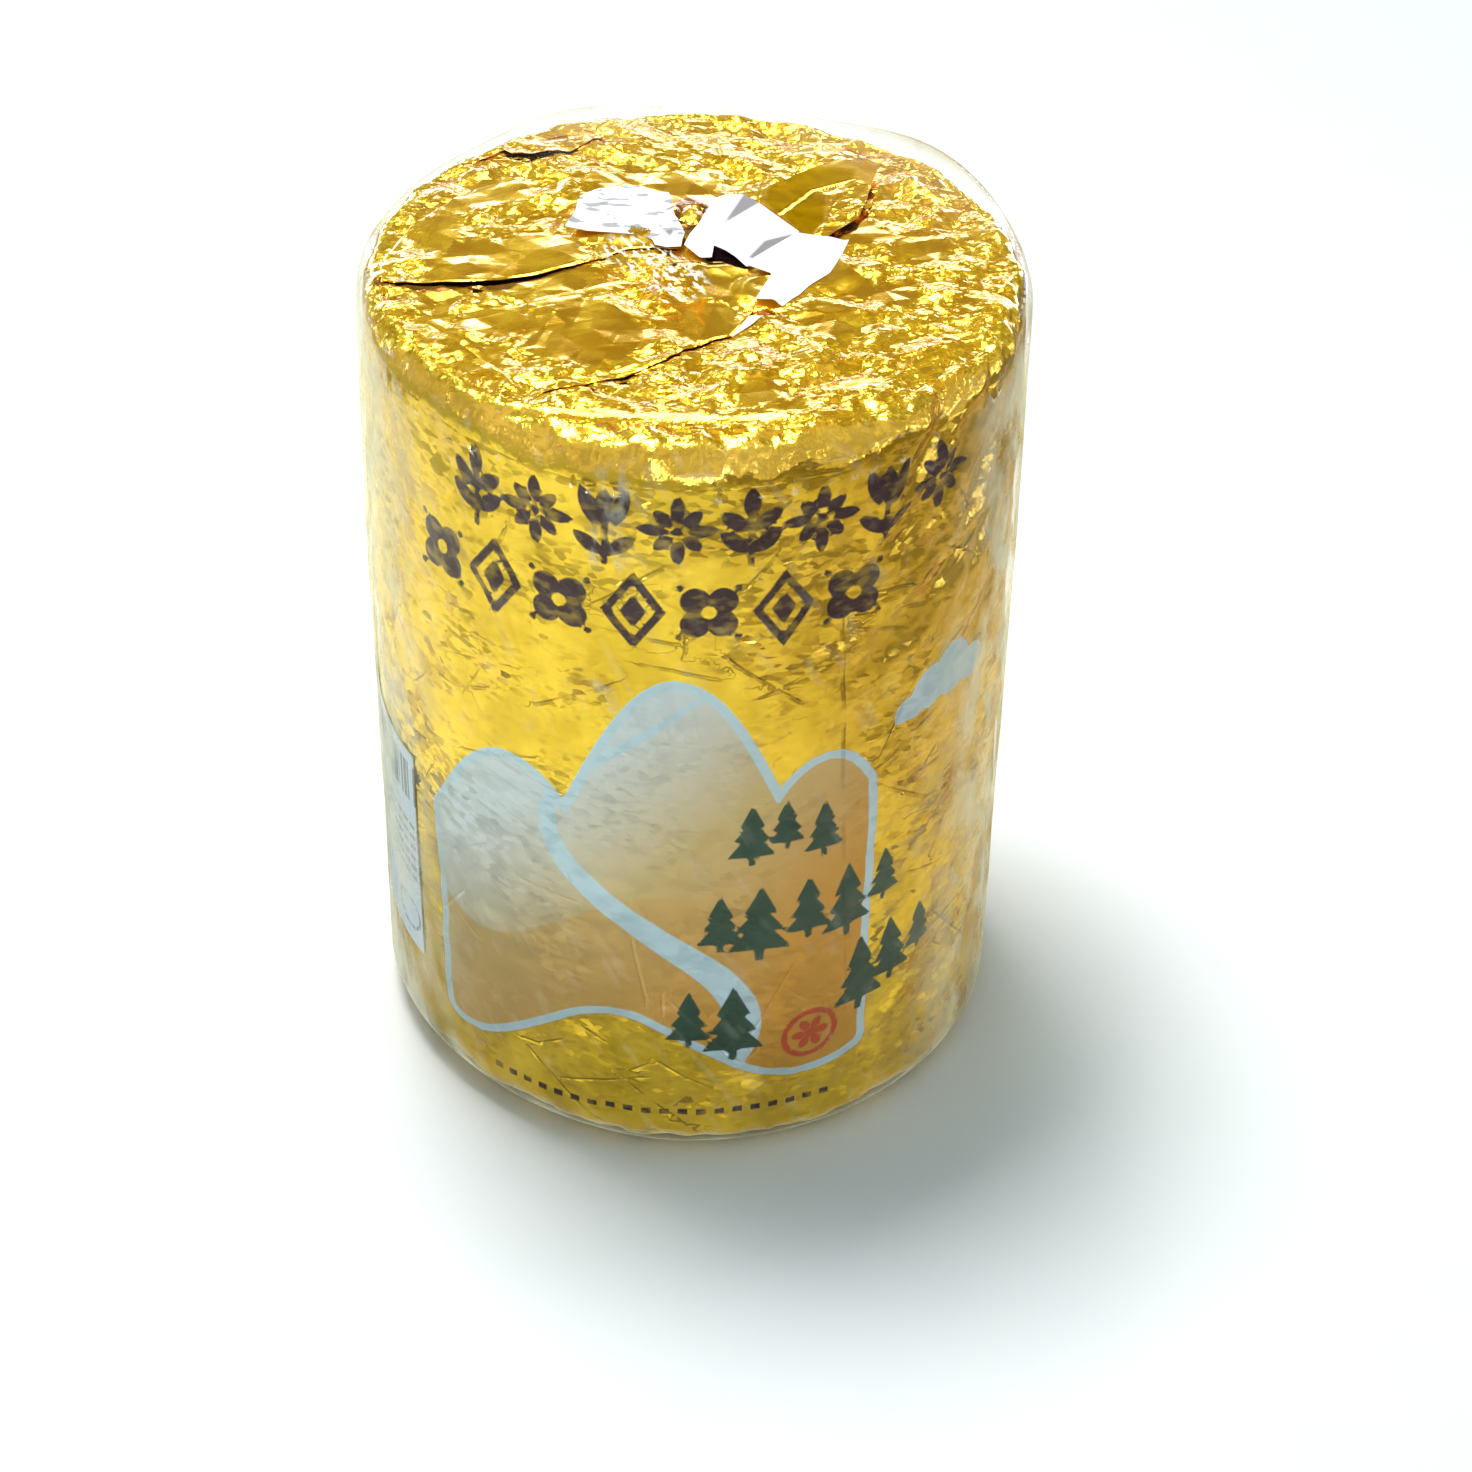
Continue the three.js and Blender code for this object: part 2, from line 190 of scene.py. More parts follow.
# The creases of the side that the eye catches first, each with its ends as places along the side and up
MAIN_CREASES = [
    ((-37.8, 124), (-53.4, 96.6)), ((-9, 126), (6, 123)), ((-56, 125), (-37, 128.5)),
    ((30, 137), (32.2, 88)), ((32.2, 88), (35.2, 21)), ((-30, 112), (-14, 121)), ((14, 118), (33, 126)),
    ((-20, 134), (-2, 131)), ((40, 96), (52, 118)), ((-48, 93), (-30, 99)), ((8, 103), (20, 108)),
    ((-26, 16), (-8, 21)),
]
RANDOM_CREASES = 150


def wrapped(angle):
    """The same angle, from -180 to 180 degrees."""
    return (angle + 180) % 360 - 180


def arc_of(angle):
    """The place along the side, from the front, that belongs to an angle."""
    return np.radians(wrapped(angle)) * DRUM_RADIUS


def hump(angle, centre, spread):
    """A smooth hump of height 1 round an angle."""
    return np.exp(-((wrapped(angle - centre) / spread) ** 2))


def smooth_step(value, low, high):
    """0 before the low value and 1 past the high one. The low value may be the larger one."""
    share = np.clip((value - low) / (high - low), 0, 1)
    return share * share * (3 - 2 * share)


def rim_height(angle):
    drop = RIM_DROP * hump(angle, RIM_DROP_ANGLE, RIM_SPREAD)
    return DRUM_HEIGHT + RIM_RISE * hump(angle, RIM_RISE_ANGLE, RIM_SPREAD) - drop


def top_rounding(angle):
    far = TOP_ROUNDING * (1 - SHARP_RIM_SHARE * hump(angle, SHARP_RIM_ANGLE, SHARP_RIM_SPREAD))
    return far + NEAR_ROUNDING * hump(angle, NEAR_ANGLE, NEAR_SPREAD)


def base_rounding(angle):
    corner = hump(angle, SLUMPED_CORNER_ANGLE, SLUMPED_CORNER_SPREAD)
    return BASE_ROUNDING + SLUMPED_CORNER_ROUNDING * corner


def wall_radius(angle, z):
    """Radius of the side, which is slightly oval, waved and barrelled."""
    turn = np.radians(angle)
    oval = 0.35 * np.cos(2 * turn - 0.6) + 0.25 * np.cos(3 * turn + 1.1)
    waves = 0.25 * np.sin(2 * turn + z / 27) + 0.2 * np.cos(5 * turn - z / 33)
    return DRUM_RADIUS + oval + waves + BARREL_BULGE * np.sin(math.pi * z / DRUM_HEIGHT)


def top_height(x, y):
    """Height of the smooth top, which is level in the middle and rises or drops towards the rim."""
    angle = np.degrees(np.arctan2(x, -y))
    share = np.minimum(1, np.hypot(x, y) / (DRUM_RADIUS - top_rounding(angle)))
    return DRUM_HEIGHT + (rim_height(angle) - DRUM_HEIGHT) * share**2


def outline_points(angle, station, gap):
    """Points of the drum's outline, moved outwards by a gap. The station runs 0 to 1 up the base rounding,
    1 to 2 up the side, 2 to 3 over the top rounding and 3 to 4 across the top to the pit."""
    turn = np.radians(angle)
    base = base_rounding(angle)
    rim = rim_height(angle)
    bend = top_rounding(angle)
    wall = wall_radius(angle, rim - bend)
    low = np.clip(station, 0, 1) * math.pi / 2
    high = np.clip(station - 2, 0, 1) * math.pi / 2
    side_z = base + np.clip(station - 1, 0, 1) * (rim - bend - base)
    parts = [station < 1, station < 2, station < 3]
    radius = np.select(
        parts,
        [
            wall_radius(angle, base) - base + (base + gap) * np.sin(low),
            wall_radius(angle, side_z) + gap,
            wall - bend + (bend + gap) * np.cos(high),
        ],
        wall - bend,
    )
    share = np.clip(station - 3, 0, 1)
    x = radius * np.sin(turn) * (1 - share) + PIT_X * share
    y = -radius * np.cos(turn) * (1 - share) + PIT_Y * share
    z = np.select(
        parts,
        [
            base - (base + gap) * np.cos(low),
            side_z,
            rim - bend + (bend + gap) * np.sin(high),
        ],
        top_height(x, y) + gap,
    )
    return np.stack([x, y, z], axis=1)


def hashed(corner, seed):
    """A repeatable random number from -1 to 1 for each lattice corner, made by mixing its bits."""
    mixed = corner[:, 0] * 374761393 + corner[:, 1] * 668265263 + corner[:, 2] * 974634777 + seed * 69069
    mixed = (mixed ^ (mixed >> 13)) & 0xFFFFFFFF
    mixed = (mixed * 1274126177) & 0xFFFFFFFF
    mixed = (mixed ^ (mixed >> 16)) & 0xFFFFFFFF
    return mixed / 0x7FFFFFFF - 1


def facets(points, cell, seed):
    """Random heights from -1 to 1 at the corners of a lattice of flat tetrahedra, so that a surface gets
    flat facets with straight creases between them. The cell is the size of the lattice, and each seed
    gives another pattern."""
    turned = points @ np.array(Matrix.Rotation(0.7 + seed, 3, Vector((1, 2, 3)).normalized())).T
    scaled = turned / cell + 7.31 * seed
    corner = np.floor(scaled).astype(np.int64)
    share = scaled - corner
    order = np.argsort(-share, axis=1)
    ranked = np.take_along_axis(share, order, axis=1)
    lines = np.arange(len(points))
    value = (1 - ranked[:, 0]) * hashed(corner, seed)
    for step in range(3):
        corner[lines, order[:, step]] += 1
        lower = ranked[:, step + 1] if step < 2 else 0
        value += (ranked[:, step] - lower) * hashed(corner, seed)
    return value


def warped(points, reach, length):
    """Points moved by slow waves, so that a lattice laid through them isn't regular."""
    x, y, z = points.T
    wave = [
        np.sin(y / length + 1.3 * np.sin(z / length)) + np.sin(0.6 * z / length + 2.0),
        np.sin(z / length + 1.1 * np.sin(x / length)) + np.sin(0.7 * x / length + 0.5),
        np.sin(x / length + 1.2 * np.sin(y / length)) + np.sin(0.8 * y / length + 4.0),
    ]
    return points + reach * np.stack(wave, axis=1)


def linked_object(name, data):
    piece = bpy.data.objects.new(name, data)
    bpy.context.scene.collection.objects.link(piece)
    return piece


def mesh_object(name, points, triangles, smooth):
    """An object with its place in its mesh. The flag smooth is one value, or one for each triangle."""
    mesh = bpy.data.meshes.new(name)
    mesh.from_pydata(((points + AXIS) * MM).tolist(), [], triangles.tolist())
    flags = np.broadcast_to(np.asarray(smooth, dtype=bool), len(mesh.polygons))
    mesh.polygons.foreach_set("use_smooth", np.ascontiguousarray(flags))
    mesh.update()
    return linked_object(name, mesh)


def add_attribute(piece, name, values):
    """A number for each vertex, which a material can read by name."""
    layer = piece.data.attributes.new(name, "FLOAT", "POINT")
    layer.data.foreach_set("value", np.asarray(values, dtype=np.float32))


def split_quads(a, b, c, d, other):
    """Two triangles for each quad, split along the other diagonal where the flag says so."""
    first = np.where(other[:, None], np.stack([a, b, d], 1), np.stack([a, b, c], 1))
    second = np.where(other[:, None], np.stack([b, c, d], 1), np.stack([a, c, d], 1))
    return np.concatenate([first, second])


def join_rings(lower, upper, random):
    """Triangles between two rings, the upper one with as many vertices as the lower one or half as many."""
    if len(upper) == len(lower):
        other = random.random(len(lower)) < 0.5
        return split_quads(lower, np.roll(lower, -1), np.roll(upper, -1), upper, other)
    a, b = lower[0::2], lower[1::2]
    c, d, e = np.roll(a, -1), upper, np.roll(upper, -1)
    return np.concatenate([np.stack([a, b, d], 1), np.stack([b, e, d], 1), np.stack([b, c, e], 1)])


def close_ring(ring, pole):
    """Triangles between a ring and one vertex."""
    return np.stack([ring, np.roll(ring, -1), np.full(len(ring), pole)], 1)


def ring_grid(stations, random, loose):
    """Angles, stations and triangles of rings with (station, segments, spacing) each, loosened at random
    unless their spacing is 0."""
    angles, heights, rings, count = [], [], [], 0
    for station, segments, spacing in stations:
        step = 360 / segments
        free = loose if spacing else 0
        angles.append((np.arange(segments) + free * random.uniform(-1, 1, segments)) * step)
        heights.append(station + free * spacing * random.uniform(-1, 1, segments))
        rings.append(np.arange(count, count + segments))
        count += segments
    triangles = [join_rings(low, high, random) for low, high in zip(rings, rings[1:])]
    return np.concatenate(angles), np.concatenate(heights), rings, triangles


def top_stations(columns, spacing, last):
    """Rings across the top, with half as many vertices each time that they come too close."""
    across = DRUM_RADIUS - TOP_ROUNDING
    share, segments, stations = 0.0, columns, []
    while share < last:
        gap = 2 * math.pi * across * (1 - share) / segments
        if gap < 0.62 * spacing and segments > 24:
            segments //= 2
        stations.append((TOP_STATION + share, segments, spacing / across))
        share += spacing / across
    return stations


def patches(x, y, places):
    """1 inside round patches, falling to 0 at their edges."""
    inside = np.zeros(len(x))
    for middle_x, middle_y, radius in places:
        away = np.hypot(x - middle_x, y - middle_y)
        inside = np.maximum(inside, 1 - smooth_step(away, 0.7 * radius, 1.25 * radius))
    return inside


def stretched(arc, z, slant, stretch):
    """Places on the side for folds that run at a slant and are longer than they are wide."""
    turn = math.radians(slant)
    length_way = arc * math.cos(turn) + z * math.sin(turn)
    cross_way = z * math.cos(turn) - arc * math.sin(turn)
    return np.stack([length_way / stretch, cross_way, 0.3 * length_way / stretch], 1)


def near_fold(x, y):
    """1 on the long fold by the near rim, falling to 0 beside it, with a ragged border."""
    away = np.full(len(x), 1e3)
    for start, end in zip(NEAR_FOLD, NEAR_FOLD[1:]):
        away = np.minimum(away, stroke_field(x, y, start, end, 0))
    away += 1.1 * facets(np.stack([x / 2.2, y, 0 * x], 1), 2.2, 24)
    return 1 - smooth_step(away, NEAR_FOLD_HALF_WIDTH, NEAR_FOLD_HALF_WIDTH + 0.7)


def top_roughness(x, y):
    """1 where the foil on the top is crumpled, near 0 in its smooth patches."""
    flat = np.stack([x, y, 0 * x], 1)
    smooth_noise = smooth_step(facets(warped(flat, 2.5, 15), 15, 9), 0.05, 0.3)
    calm = np.maximum(smooth_noise, patches(x, y, SMOOTH_PATCHES))
    rim_band = np.maximum(smooth_step(np.hypot(x, y), 50, 60), smooth_step(y, 34, 44))
    return (1 - 0.94 * calm * (1 - 0.8 * rim_band)) * (1 - 0.7 * near_fold(x, y))


def top_crumple(points, angle):
    """Crumpled foil on the top: clusters of sharp facets between smooth patches."""
    x, y, z = points.T
    loose = warped(points, 1.6, 9)
    radius = np.hypot(x, y)
    rough = top_roughness(x, y)
    height = 0.45 * facets(loose, 14, 1) + (0.3 + 0.75 * rough) * facets(loose, 6.6, 2)
    height += rough * (0.3 * facets(loose, 3.3, 3) + 0.1 * facets(loose, 1.9, 4))
    ripples = facets(np.stack([np.radians(angle) * radius / 2.6, radius, 0 * x], 1), 2.6, 6)
    height += 0.36 * smooth_step(-y, 18, 40) * rough * ripples
    height = np.minimum(height - 0.9, 0.35) * (1 - 0.75 * patches(x, y, PRESSED_PATCHES))
    fold = near_fold(x, y)
    height = height * (1 - 0.7 * fold) + 0.7 * fold * NEAR_FOLD_HEIGHT
    cup = patches(x, y, [(CUP_X, CUP_Y, 1.6 * CUP_RADIUS)])
    return height + cup * (0.7 + 0.9 * facets(loose, 2.6, 8))


def rim_share(points, station):
    """1 on the rounded rim, where the foil looks like the side's, with a ragged border."""
    return smooth_step(station + 0.15 * facets(points, 4.5, 18), 2.87, 2.72)


def label_area(angle, z):
    """1 under the label, falling to 0 round it."""
    over = smooth_step(z, LABEL_BOTTOM - 6, LABEL_BOTTOM - 1)
    under = smooth_step(z, LABEL_TOP + 6, LABEL_TOP + 1)
    return over * under * smooth_step(angle, LABEL_RIGHT_ANGLE + 5, LABEL_RIGHT_ANGLE)


def side_crumple(points, angle):
    """Calmer foil on the side, with slanting folds at the upper right and left and pleats at the base."""
    z = points[:, 2]
    arc = np.radians(angle) * DRUM_RADIUS
    loose = warped(points, 1.6, 9)
    low = smooth_step(24 - z, 0, 18)
    right = hump(angle, 56, 30) * (0.25 + 0.75 * smooth_step(z, 105, 145))
    left = hump(angle, -52, 22) * smooth_step(z, 95, 125)
    height = 0.5 * facets(loose, 14, 1) + 0.3 * facets(loose, 7, 2)
    height += (0.12 + 0.14 * low) * facets(loose, 3.9, 3)
    height += 0.2 * facets(stretched(arc, z, 12, 3.2), 4.2, 11)
    height += right * (1.9 * facets(stretched(arc, z, 30, 2.2), 5.5, 12) - 0.5)
    height += right * 0.5 * facets(stretched(arc, z, 24, 2), 2.7, 17)
    height += left * 0.6 * facets(stretched(arc, z, -32, 4), 6, 13)
    height += low * 0.3 * facets(stretched(arc, z, 90, 4), 3.6, 14)
    covered = label_area(angle, z)
    return np.minimum(height - 0.45, 0.2) * (1 - covered) - 0.1 * covered


def crumple(points, angle, station):
    """How far the crumpled foil stands off its smooth outline: the side's and the top's crumple, with beads
    on the rim between them, and none at the foot."""
    angle = wrapped(angle)
    on_top = smooth_step(station, BLEND_STATION, TOP_STATION)
    height = np.zeros(len(points))
    sides = station < TOP_STATION
    tops = station > BLEND_STATION
    height[sides] += (1 - on_top[sides]) * side_crumple(points[sides], angle[sides])
    height[tops] += on_top[tops] * top_crumple(points[tops], angle[tops])
    rim = np.abs(station - RIM_STATION) < 0.55
    bead = np.exp(-(((station[rim] - RIM_STATION) / 0.36) ** 2))
    bead = bead * (0.2 * facets(points[rim], 2.3, 15) + 0.5 * facets(points[rim], 6, 16))
    height[rim] = np.minimum(height[rim] + bead, 0.2)
    return np.minimum(1, station * 2) * height


def pit_shape(x, y):
    """1 in the middle of the pit, a slit that runs back and to the left, falling to 0 round it."""
    right, back = PIT_DIRECTION
    lengthways = (x - PIT_X) * right + (y - PIT_Y) * back
    crossways = (x - PIT_X) * -back + (y - PIT_Y) * right
    return np.exp(-((lengthways / PIT_HALF_LENGTH) ** 2) - (crossways / PIT_HALF_WIDTH) ** 2)


def foil_points(angle, station):
    """Points of the crumpled foil, with the pit."""
    points = outline_points(angle, station, 0.0)
    outward = outline_points(angle, station, 1.0) - points
    points = points + outward * crumple(points, angle, station)[:, None]
    points[:, 2] -= PIT_DEPTH * pit_shape(points[:, 0], points[:, 1]) * (station > TOP_STATION)
    return points


def foil_height(x, y):
    """Height of the crumpled foil at places on the top."""
    angle = np.degrees(np.arctan2(x, -y))
    flat = np.stack([x, y, top_height(x, y)], 1)
    bend = top_rounding(angle)
    wall = wall_radius(angle, DRUM_HEIGHT - bend)
    over = np.clip(np.hypot(x, y) - wall + bend, 0, 0.95 * bend)
    return flat[:, 2] + top_crumple(flat, angle) - bend + np.sqrt(bend**2 - over**2)


def make_foil_side():
    """The printed foil of the side, closed by its flat base and by a collar inside the foil of the top."""
    random = np.random.default_rng(5)
    stations = [(0, SIDE_COLUMNS, 0)] + [(step / 8, SIDE_COLUMNS, 0.06) for step in range(1, 8)]
    stations += [(1 + row / SIDE_ROWS, SIDE_COLUMNS, 1 / SIDE_ROWS) for row in range(SIDE_ROWS)]
    stations += [(SEAM_STATION, SIDE_COLUMNS, 0), (COLLAR_STATION, SIDE_COLUMNS, 0)]
    angle, station, rings, triangles = ring_grid(stations, random, 0.3)
    points = foil_points(angle, station)
    points[rings[-1], :2] *= 1 - COLLAR_DEPTH / DRUM_RADIUS
    points[: len(rings[0]), 2] = 0
    count = len(points)
    points = np.concatenate([points, [[0, 0, 0], [0, 0, DRUM_HEIGHT - 2.5 * TOP_ROUNDING]]])
    faces = np.concatenate(triangles)
    triangles = np.concatenate([faces, close_ring(rings[0][::-1], count), close_ring(rings[-1], count + 1)])
    smooth = np.arange(len(triangles)) < len(faces)
    side = mesh_object("foil_side", points, triangles, smooth)
    arc = arc_of(np.append(angle, [0, 0]))
    add_print(side, arc, points[:, 2])
    add_attribute(side, "crease", crease_field(arc, points[:, 2], random))
    return side


def make_foil_top():
    """The foil of the top and its rounded rim, closed inside the drum."""
    random = np.random.default_rng(6)
    stations = [(SEAM_STATION, TOP_COLUMNS, 0)]
    stations += [(2 + row / ROUNDING_ROWS, TOP_COLUMNS, 0.06) for row in range(1, ROUNDING_ROWS)]
    stations += top_stations(TOP_COLUMNS, TOP_SPACING, 0.985)
    angle, station, rings, triangles = ring_grid(stations, random, 0.3)
    points = foil_points(angle, station)
    seam = points[: len(rings[0])]
    seam[1::2] = (seam[0::2] + np.roll(seam[0::2], -1, axis=0)) / 2
    count = len(points)
    pit_floor = [PIT_X, PIT_Y, DRUM_HEIGHT - PIT_DEPTH - 0.3]
    points = np.concatenate([points, [pit_floor, [0, 0, DRUM_HEIGHT - 2 * TOP_ROUNDING]]])
    triangles += [close_ring(rings[-1], count), close_ring(rings[0][::-1], count + 1)]
    top = mesh_object("foil_top", points, np.concatenate(triangles), False)
    x, y, z = points.T
    # Painted shade: where the hole is dark, and where the hollow and a ring round the cup are brown
    add_attribute(top, "hole", polygon_field(x, y, HOLE))
    add_attribute(top, "shade", polygon_field(x, y, HOLLOW_SHADE))
    add_attribute(top, "cup", np.abs(np.hypot(x - CUP_X, (y - CUP_Y) / CUP_STRETCH) - CUP_RADIUS))
    rim = rim_share(points, np.append(station, [POLE_STATION, SEAM_STATION]))
    add_attribute(top, "rim", rim)
    add_attribute(top, "rough", top_roughness(x, y) * (1 - 0.5 * rim))
    add_attribute(top, "glint", near_fold(x, y))
    return top


def joined(fields):
    """The distance to the nearest of several shapes."""
    return np.minimum.reduce(list(fields))


def polar(reach, turn):
    """The place at a distance in a direction, which is an angle in degrees from the horizontal."""
    turn = math.radians(turn)
    return reach * math.cos(turn), reach * math.sin(turn)


def box_field(u, z, half_width, half_height):
    """Distance to a box, negative inside, as are the fields below."""
    du = np.abs(u) - half_width
    dz = np.abs(z) - half_height
    outside = np.hypot(np.maximum(du, 0), np.maximum(dz, 0))
    return outside + np.minimum(np.maximum(du, dz), 0)


def lozenge_field(u, z, half_width, half_height):
    edge = half_width * half_height / math.hypot(half_width, half_height)
    return (np.abs(u) / half_width + np.abs(z) / half_height - 1) * edge


def disc_field(u, z, radius):
    return np.hypot(u, z) - radius


def lens_field(u, z, middle, turn, length, width):
    """A pointed leaf: the overlap of two discs, turned from the horizontal by an angle in degrees."""
    turn = math.radians(turn)
    du, dz = u - middle[0], z - middle[1]
    lengthways = du * math.cos(turn) + dz * math.sin(turn)
    crossways = np.abs(dz * math.cos(turn) - du * math.sin(turn))
    radius = (length**2 + width**2) / (4 * width)
    return np.hypot(lengthways, crossways + radius - width / 2) - radius


def stroke_field(u, z, start, end, width):
    """A straight stroke with round ends."""
    du, dz = end[0] - start[0], end[1] - start[1]
    share = np.clip(((u - start[0]) * du + (z - start[1]) * dz) / (du * du + dz * dz), 0, 1)
    return np.hypot(u - start[0] - share * du, z - start[1] - share * dz) - width / 2


def polygon_field(u, z, corners):
    """Distance to a polygon. A place is inside if a line to its right crosses the border an odd number of
    times."""
    distance = np.full(len(u), 1e9)
    inside = np.zeros(len(u), dtype=bool)
    for (u0, z0), (u1, z1) in zip(corners, corners[1:] + corners[:1]):
        distance = np.minimum(distance, stroke_field(u, z, (u0, z0), (u1, z1), 0))
        crosses = (z0 > z) != (z1 > z)
        rise = z1 - z0 if z1 != z0 else 1e-9
        inside ^= crosses & (u < (u1 - u0) * (z - z0) / rise + u0)
    return np.where(inside, -distance, distance)


def crease_field(u, z, random):
    """Distance to the nearest crease of the side, negative on its left, for someone who follows it."""
    lines = list(MAIN_CREASES)
    for _ in range(RANDOM_CREASES):
        start = (random.uniform(-200, 200), random.uniform(8, 166))
        length = 4 + 20 * random.random() ** 2
        turn = math.radians(random.normal(12, 38))
        lines.append((start, (start[0] + length * math.cos(turn), start[1] + length * math.sin(turn))))
    nearest = np.full(len(u), 1e3)
    field = np.full(len(u), 1e3)
    for (u0, z0), (u1, z1) in lines:
        away = stroke_field(u, z, (u0, z0), (u1, z1), 0)
        right = (u - u0) * (z1 - z0) - (z - z0) * (u1 - u0)
        closer = away < nearest
        nearest[closer] = away[closer]
        field[closer] = np.copysign(away, right)[closer]
    return field


def lozenge_motif(u, z):
    """A lozenge in a ring of the same form."""
    ring = np.maximum(lozenge_field(u, z, 6.2, 8.8), -lozenge_field(u, z, 4.2, 6.0))
    return np.minimum(ring, lozenge_field(u, z, 2.5, 3.8))


def sprig_motif(u, z):
    """A stem with a bud and two pairs of leaves."""
    leaves = [(side, height) for height in (-2.8, 1.8) for side in (-1, 1)]
    return joined([
        stroke_field(u, z, (0, -8.4), (0, 5), 1.2),
        lens_field(u, z, (0, 5.6), 90, 7, 3.4),
        *(lens_field(u, z, (side * 3.1, height), 90 - side * 50, 7.4, 3.4) for side, height in leaves),
    ])


def star_motif(u, z):
    """A flower of eight petals, long and short by turns."""
    petals = [(45 * petal, (6.4, 4.8)[petal % 2]) for petal in range(8)]
    return joined([
        disc_field(u, z, 1.0),
        *(lens_field(u, z, polar(1.5 + long / 2, turn), turn, long, 2.7) for turn, long in petals),
    ])


def tulip_motif(u, z):
    """A tulip of three petals, with two leaves."""
    fields = [stroke_field(u, z, (0, -8.4), (0, 2), 1.2), lens_field(u, z, (0, 3.6), 90, 9, 3.6)]
    for side in (-1, 1):
        fields.append(lens_field(u, z, (side * 3.0, 3.8), 90 - side * 18, 9.4, 3.2))
        fields.append(lens_field(u, z, (side * 3.0, -4.4), 90 - side * 52, 7.6, 3.0))
    return joined(fields)


def clover_motif(u, z):
    """Four round leaves, each with a dot, and a hole in the middle."""
    fields = []
    for turn in (45, 135, 225, 315):
        for reach, radius in ((3.7, 2.9), (7.9, 0.8)):
            middle_u, middle_z = polar(reach, turn)
            fields.append(disc_field(u - middle_u, z - middle_z, radius))
    return np.maximum(joined(fields), -disc_field(u, z, 1.5))


def ornament_field(u, z):
    """Two rows of plain ornaments round the front, under the top."""
    rows = [
        (156.5, -43.0, 13.6, (sprig_motif, star_motif, tulip_motif, star_motif) * 2),
        (138.0, -53.0, 14.2, (clover_motif, lozenge_motif) * 4),
    ]
    return joined(
        motif(u - first - pitch * place, z - row_z)
        for row_z, first, pitch, motifs in rows
        for place, motif in enumerate(motifs[: int(ROW_REACH / pitch)])
    )


def hill_line(u):
    """The upper edge of the landscape: three rounded hills."""
    hills = [(-36, 24, 48), (-2, 26, 72), (28, 20, 52)]
    return 50 + max(height * math.exp(-(((u - middle) / spread) ** 2)) for middle, spread, height in hills)


def foot_line(u):
    """The lower edge of the landscape."""
    return 29 + 8 * math.cos((u + 14) / 12) - 0.002 * (u + 10) ** 2


def landscape_field(u, z):
    """The whole landscape between its upper and its lower edge, with rounded corners."""
    steps = range(PANEL_LEFT, PANEL_RIGHT + 1, 2)
    upper = [(step, hill_line(step) - PANEL_ROUNDING) for step in steps]
    lower = [(step, foot_line(step) + PANEL_ROUNDING) for step in reversed(steps)]
    return polygon_field(u, z, upper + lower) - PANEL_ROUNDING


def meadow_field(u, z):
    """The nearer ground of the landscape, under a gently waved line."""
    return z - 56 - 13 * np.cos((u + 2) / 15) + 0.12 * u


def stream_field(u, z):
    """A stream that winds down the landscape and widens."""
    middle = -8 + 20 * np.sin((z - 12) / 15.5)
    slope = 20 / 15.5 * np.cos((z - 12) / 15.5)
    half_width = 1.3 + 0.038 * (100 - z)
    return np.abs(u - middle) / np.sqrt(1 + slope**2) - half_width


def cloud_field(u, z):
    """A cloud of discs with a flat foot."""
    discs = [(47, 103.5, 3.4), (53, 107, 5), (60.5, 107.5, 6), (67.5, 104.5, 4.4)]
    field = joined(disc_field(u - middle_u, z - middle_z, radius) for middle_u, middle_z, radius in discs)
    return np.maximum(field, 101.5 - z)


def fir_field(u, z, foot_u, foot_z, height):
    """A fir of three stacked triangles on a short trunk."""
    u = (u - foot_u) / height
    z = (z - foot_z) / height
    fields = [box_field(u, z - 0.08, 0.045, 0.08)]
    for low, tall, half in ((0.14, 0.42, 0.33), (0.38, 0.36, 0.26), (0.6, 0.4, 0.18)):
        fields.append(polygon_field(u, z, [(-half, low), (half, low), (0, low + tall)]))
    return joined(fields) * height


def woods_field(u, z):
    """Firs, each with the place of its foot and its height."""
    firs = [
        (13, 77, 15), (20, 80, 12), (28, 76, 14),
        (7, 55, 15), (15, 52, 20), (25, 56, 16), (34, 53, 19), (43, 58, 14),
        (1, 30, 15), (10, 26, 20), (38, 31, 20), (46, 35, 17), (54, 39, 13),
    ]
    return joined(fir_field(u, z, *fir) for fir in firs)


def flower_field(u, z):
    """A round flower in a ring, at the foot of the landscape: its petals, ring and disc."""
    u = u - 26.5
    z = z - 29.5
    petals = [lens_field(u, z, polar(2.7, turn), turn, 3.4, 2.2) for turn in range(0, 360, 60)]
    flower = joined([disc_field(u, z, 1.2), *petals])
    return flower, np.abs(disc_field(u, z, 5.8)) - 0.7, disc_field(u, z, 6.5)


def add_print(piece, arc, z):
    """The printed design as distances in mm, negative inside each shape."""
    landscape = landscape_field(arc, z)
    flower, ring, disc = flower_field(arc, z)
    fields = {
        "ornament": ornament_field(arc, z),
        "landscape": landscape,
        "meadow": np.maximum(meadow_field(arc, z), landscape),
        "stream": np.maximum(stream_field(arc, z), landscape),
        "cloud": cloud_field(arc, z),
        "woods": woods_field(arc, z),
        "flower": flower,
        "flower_ring": ring,
        "flower_disc": disc,
        "arc": arc,
        "height": z,
    }
    for name, field in fields.items():
        add_attribute(piece, name, field)


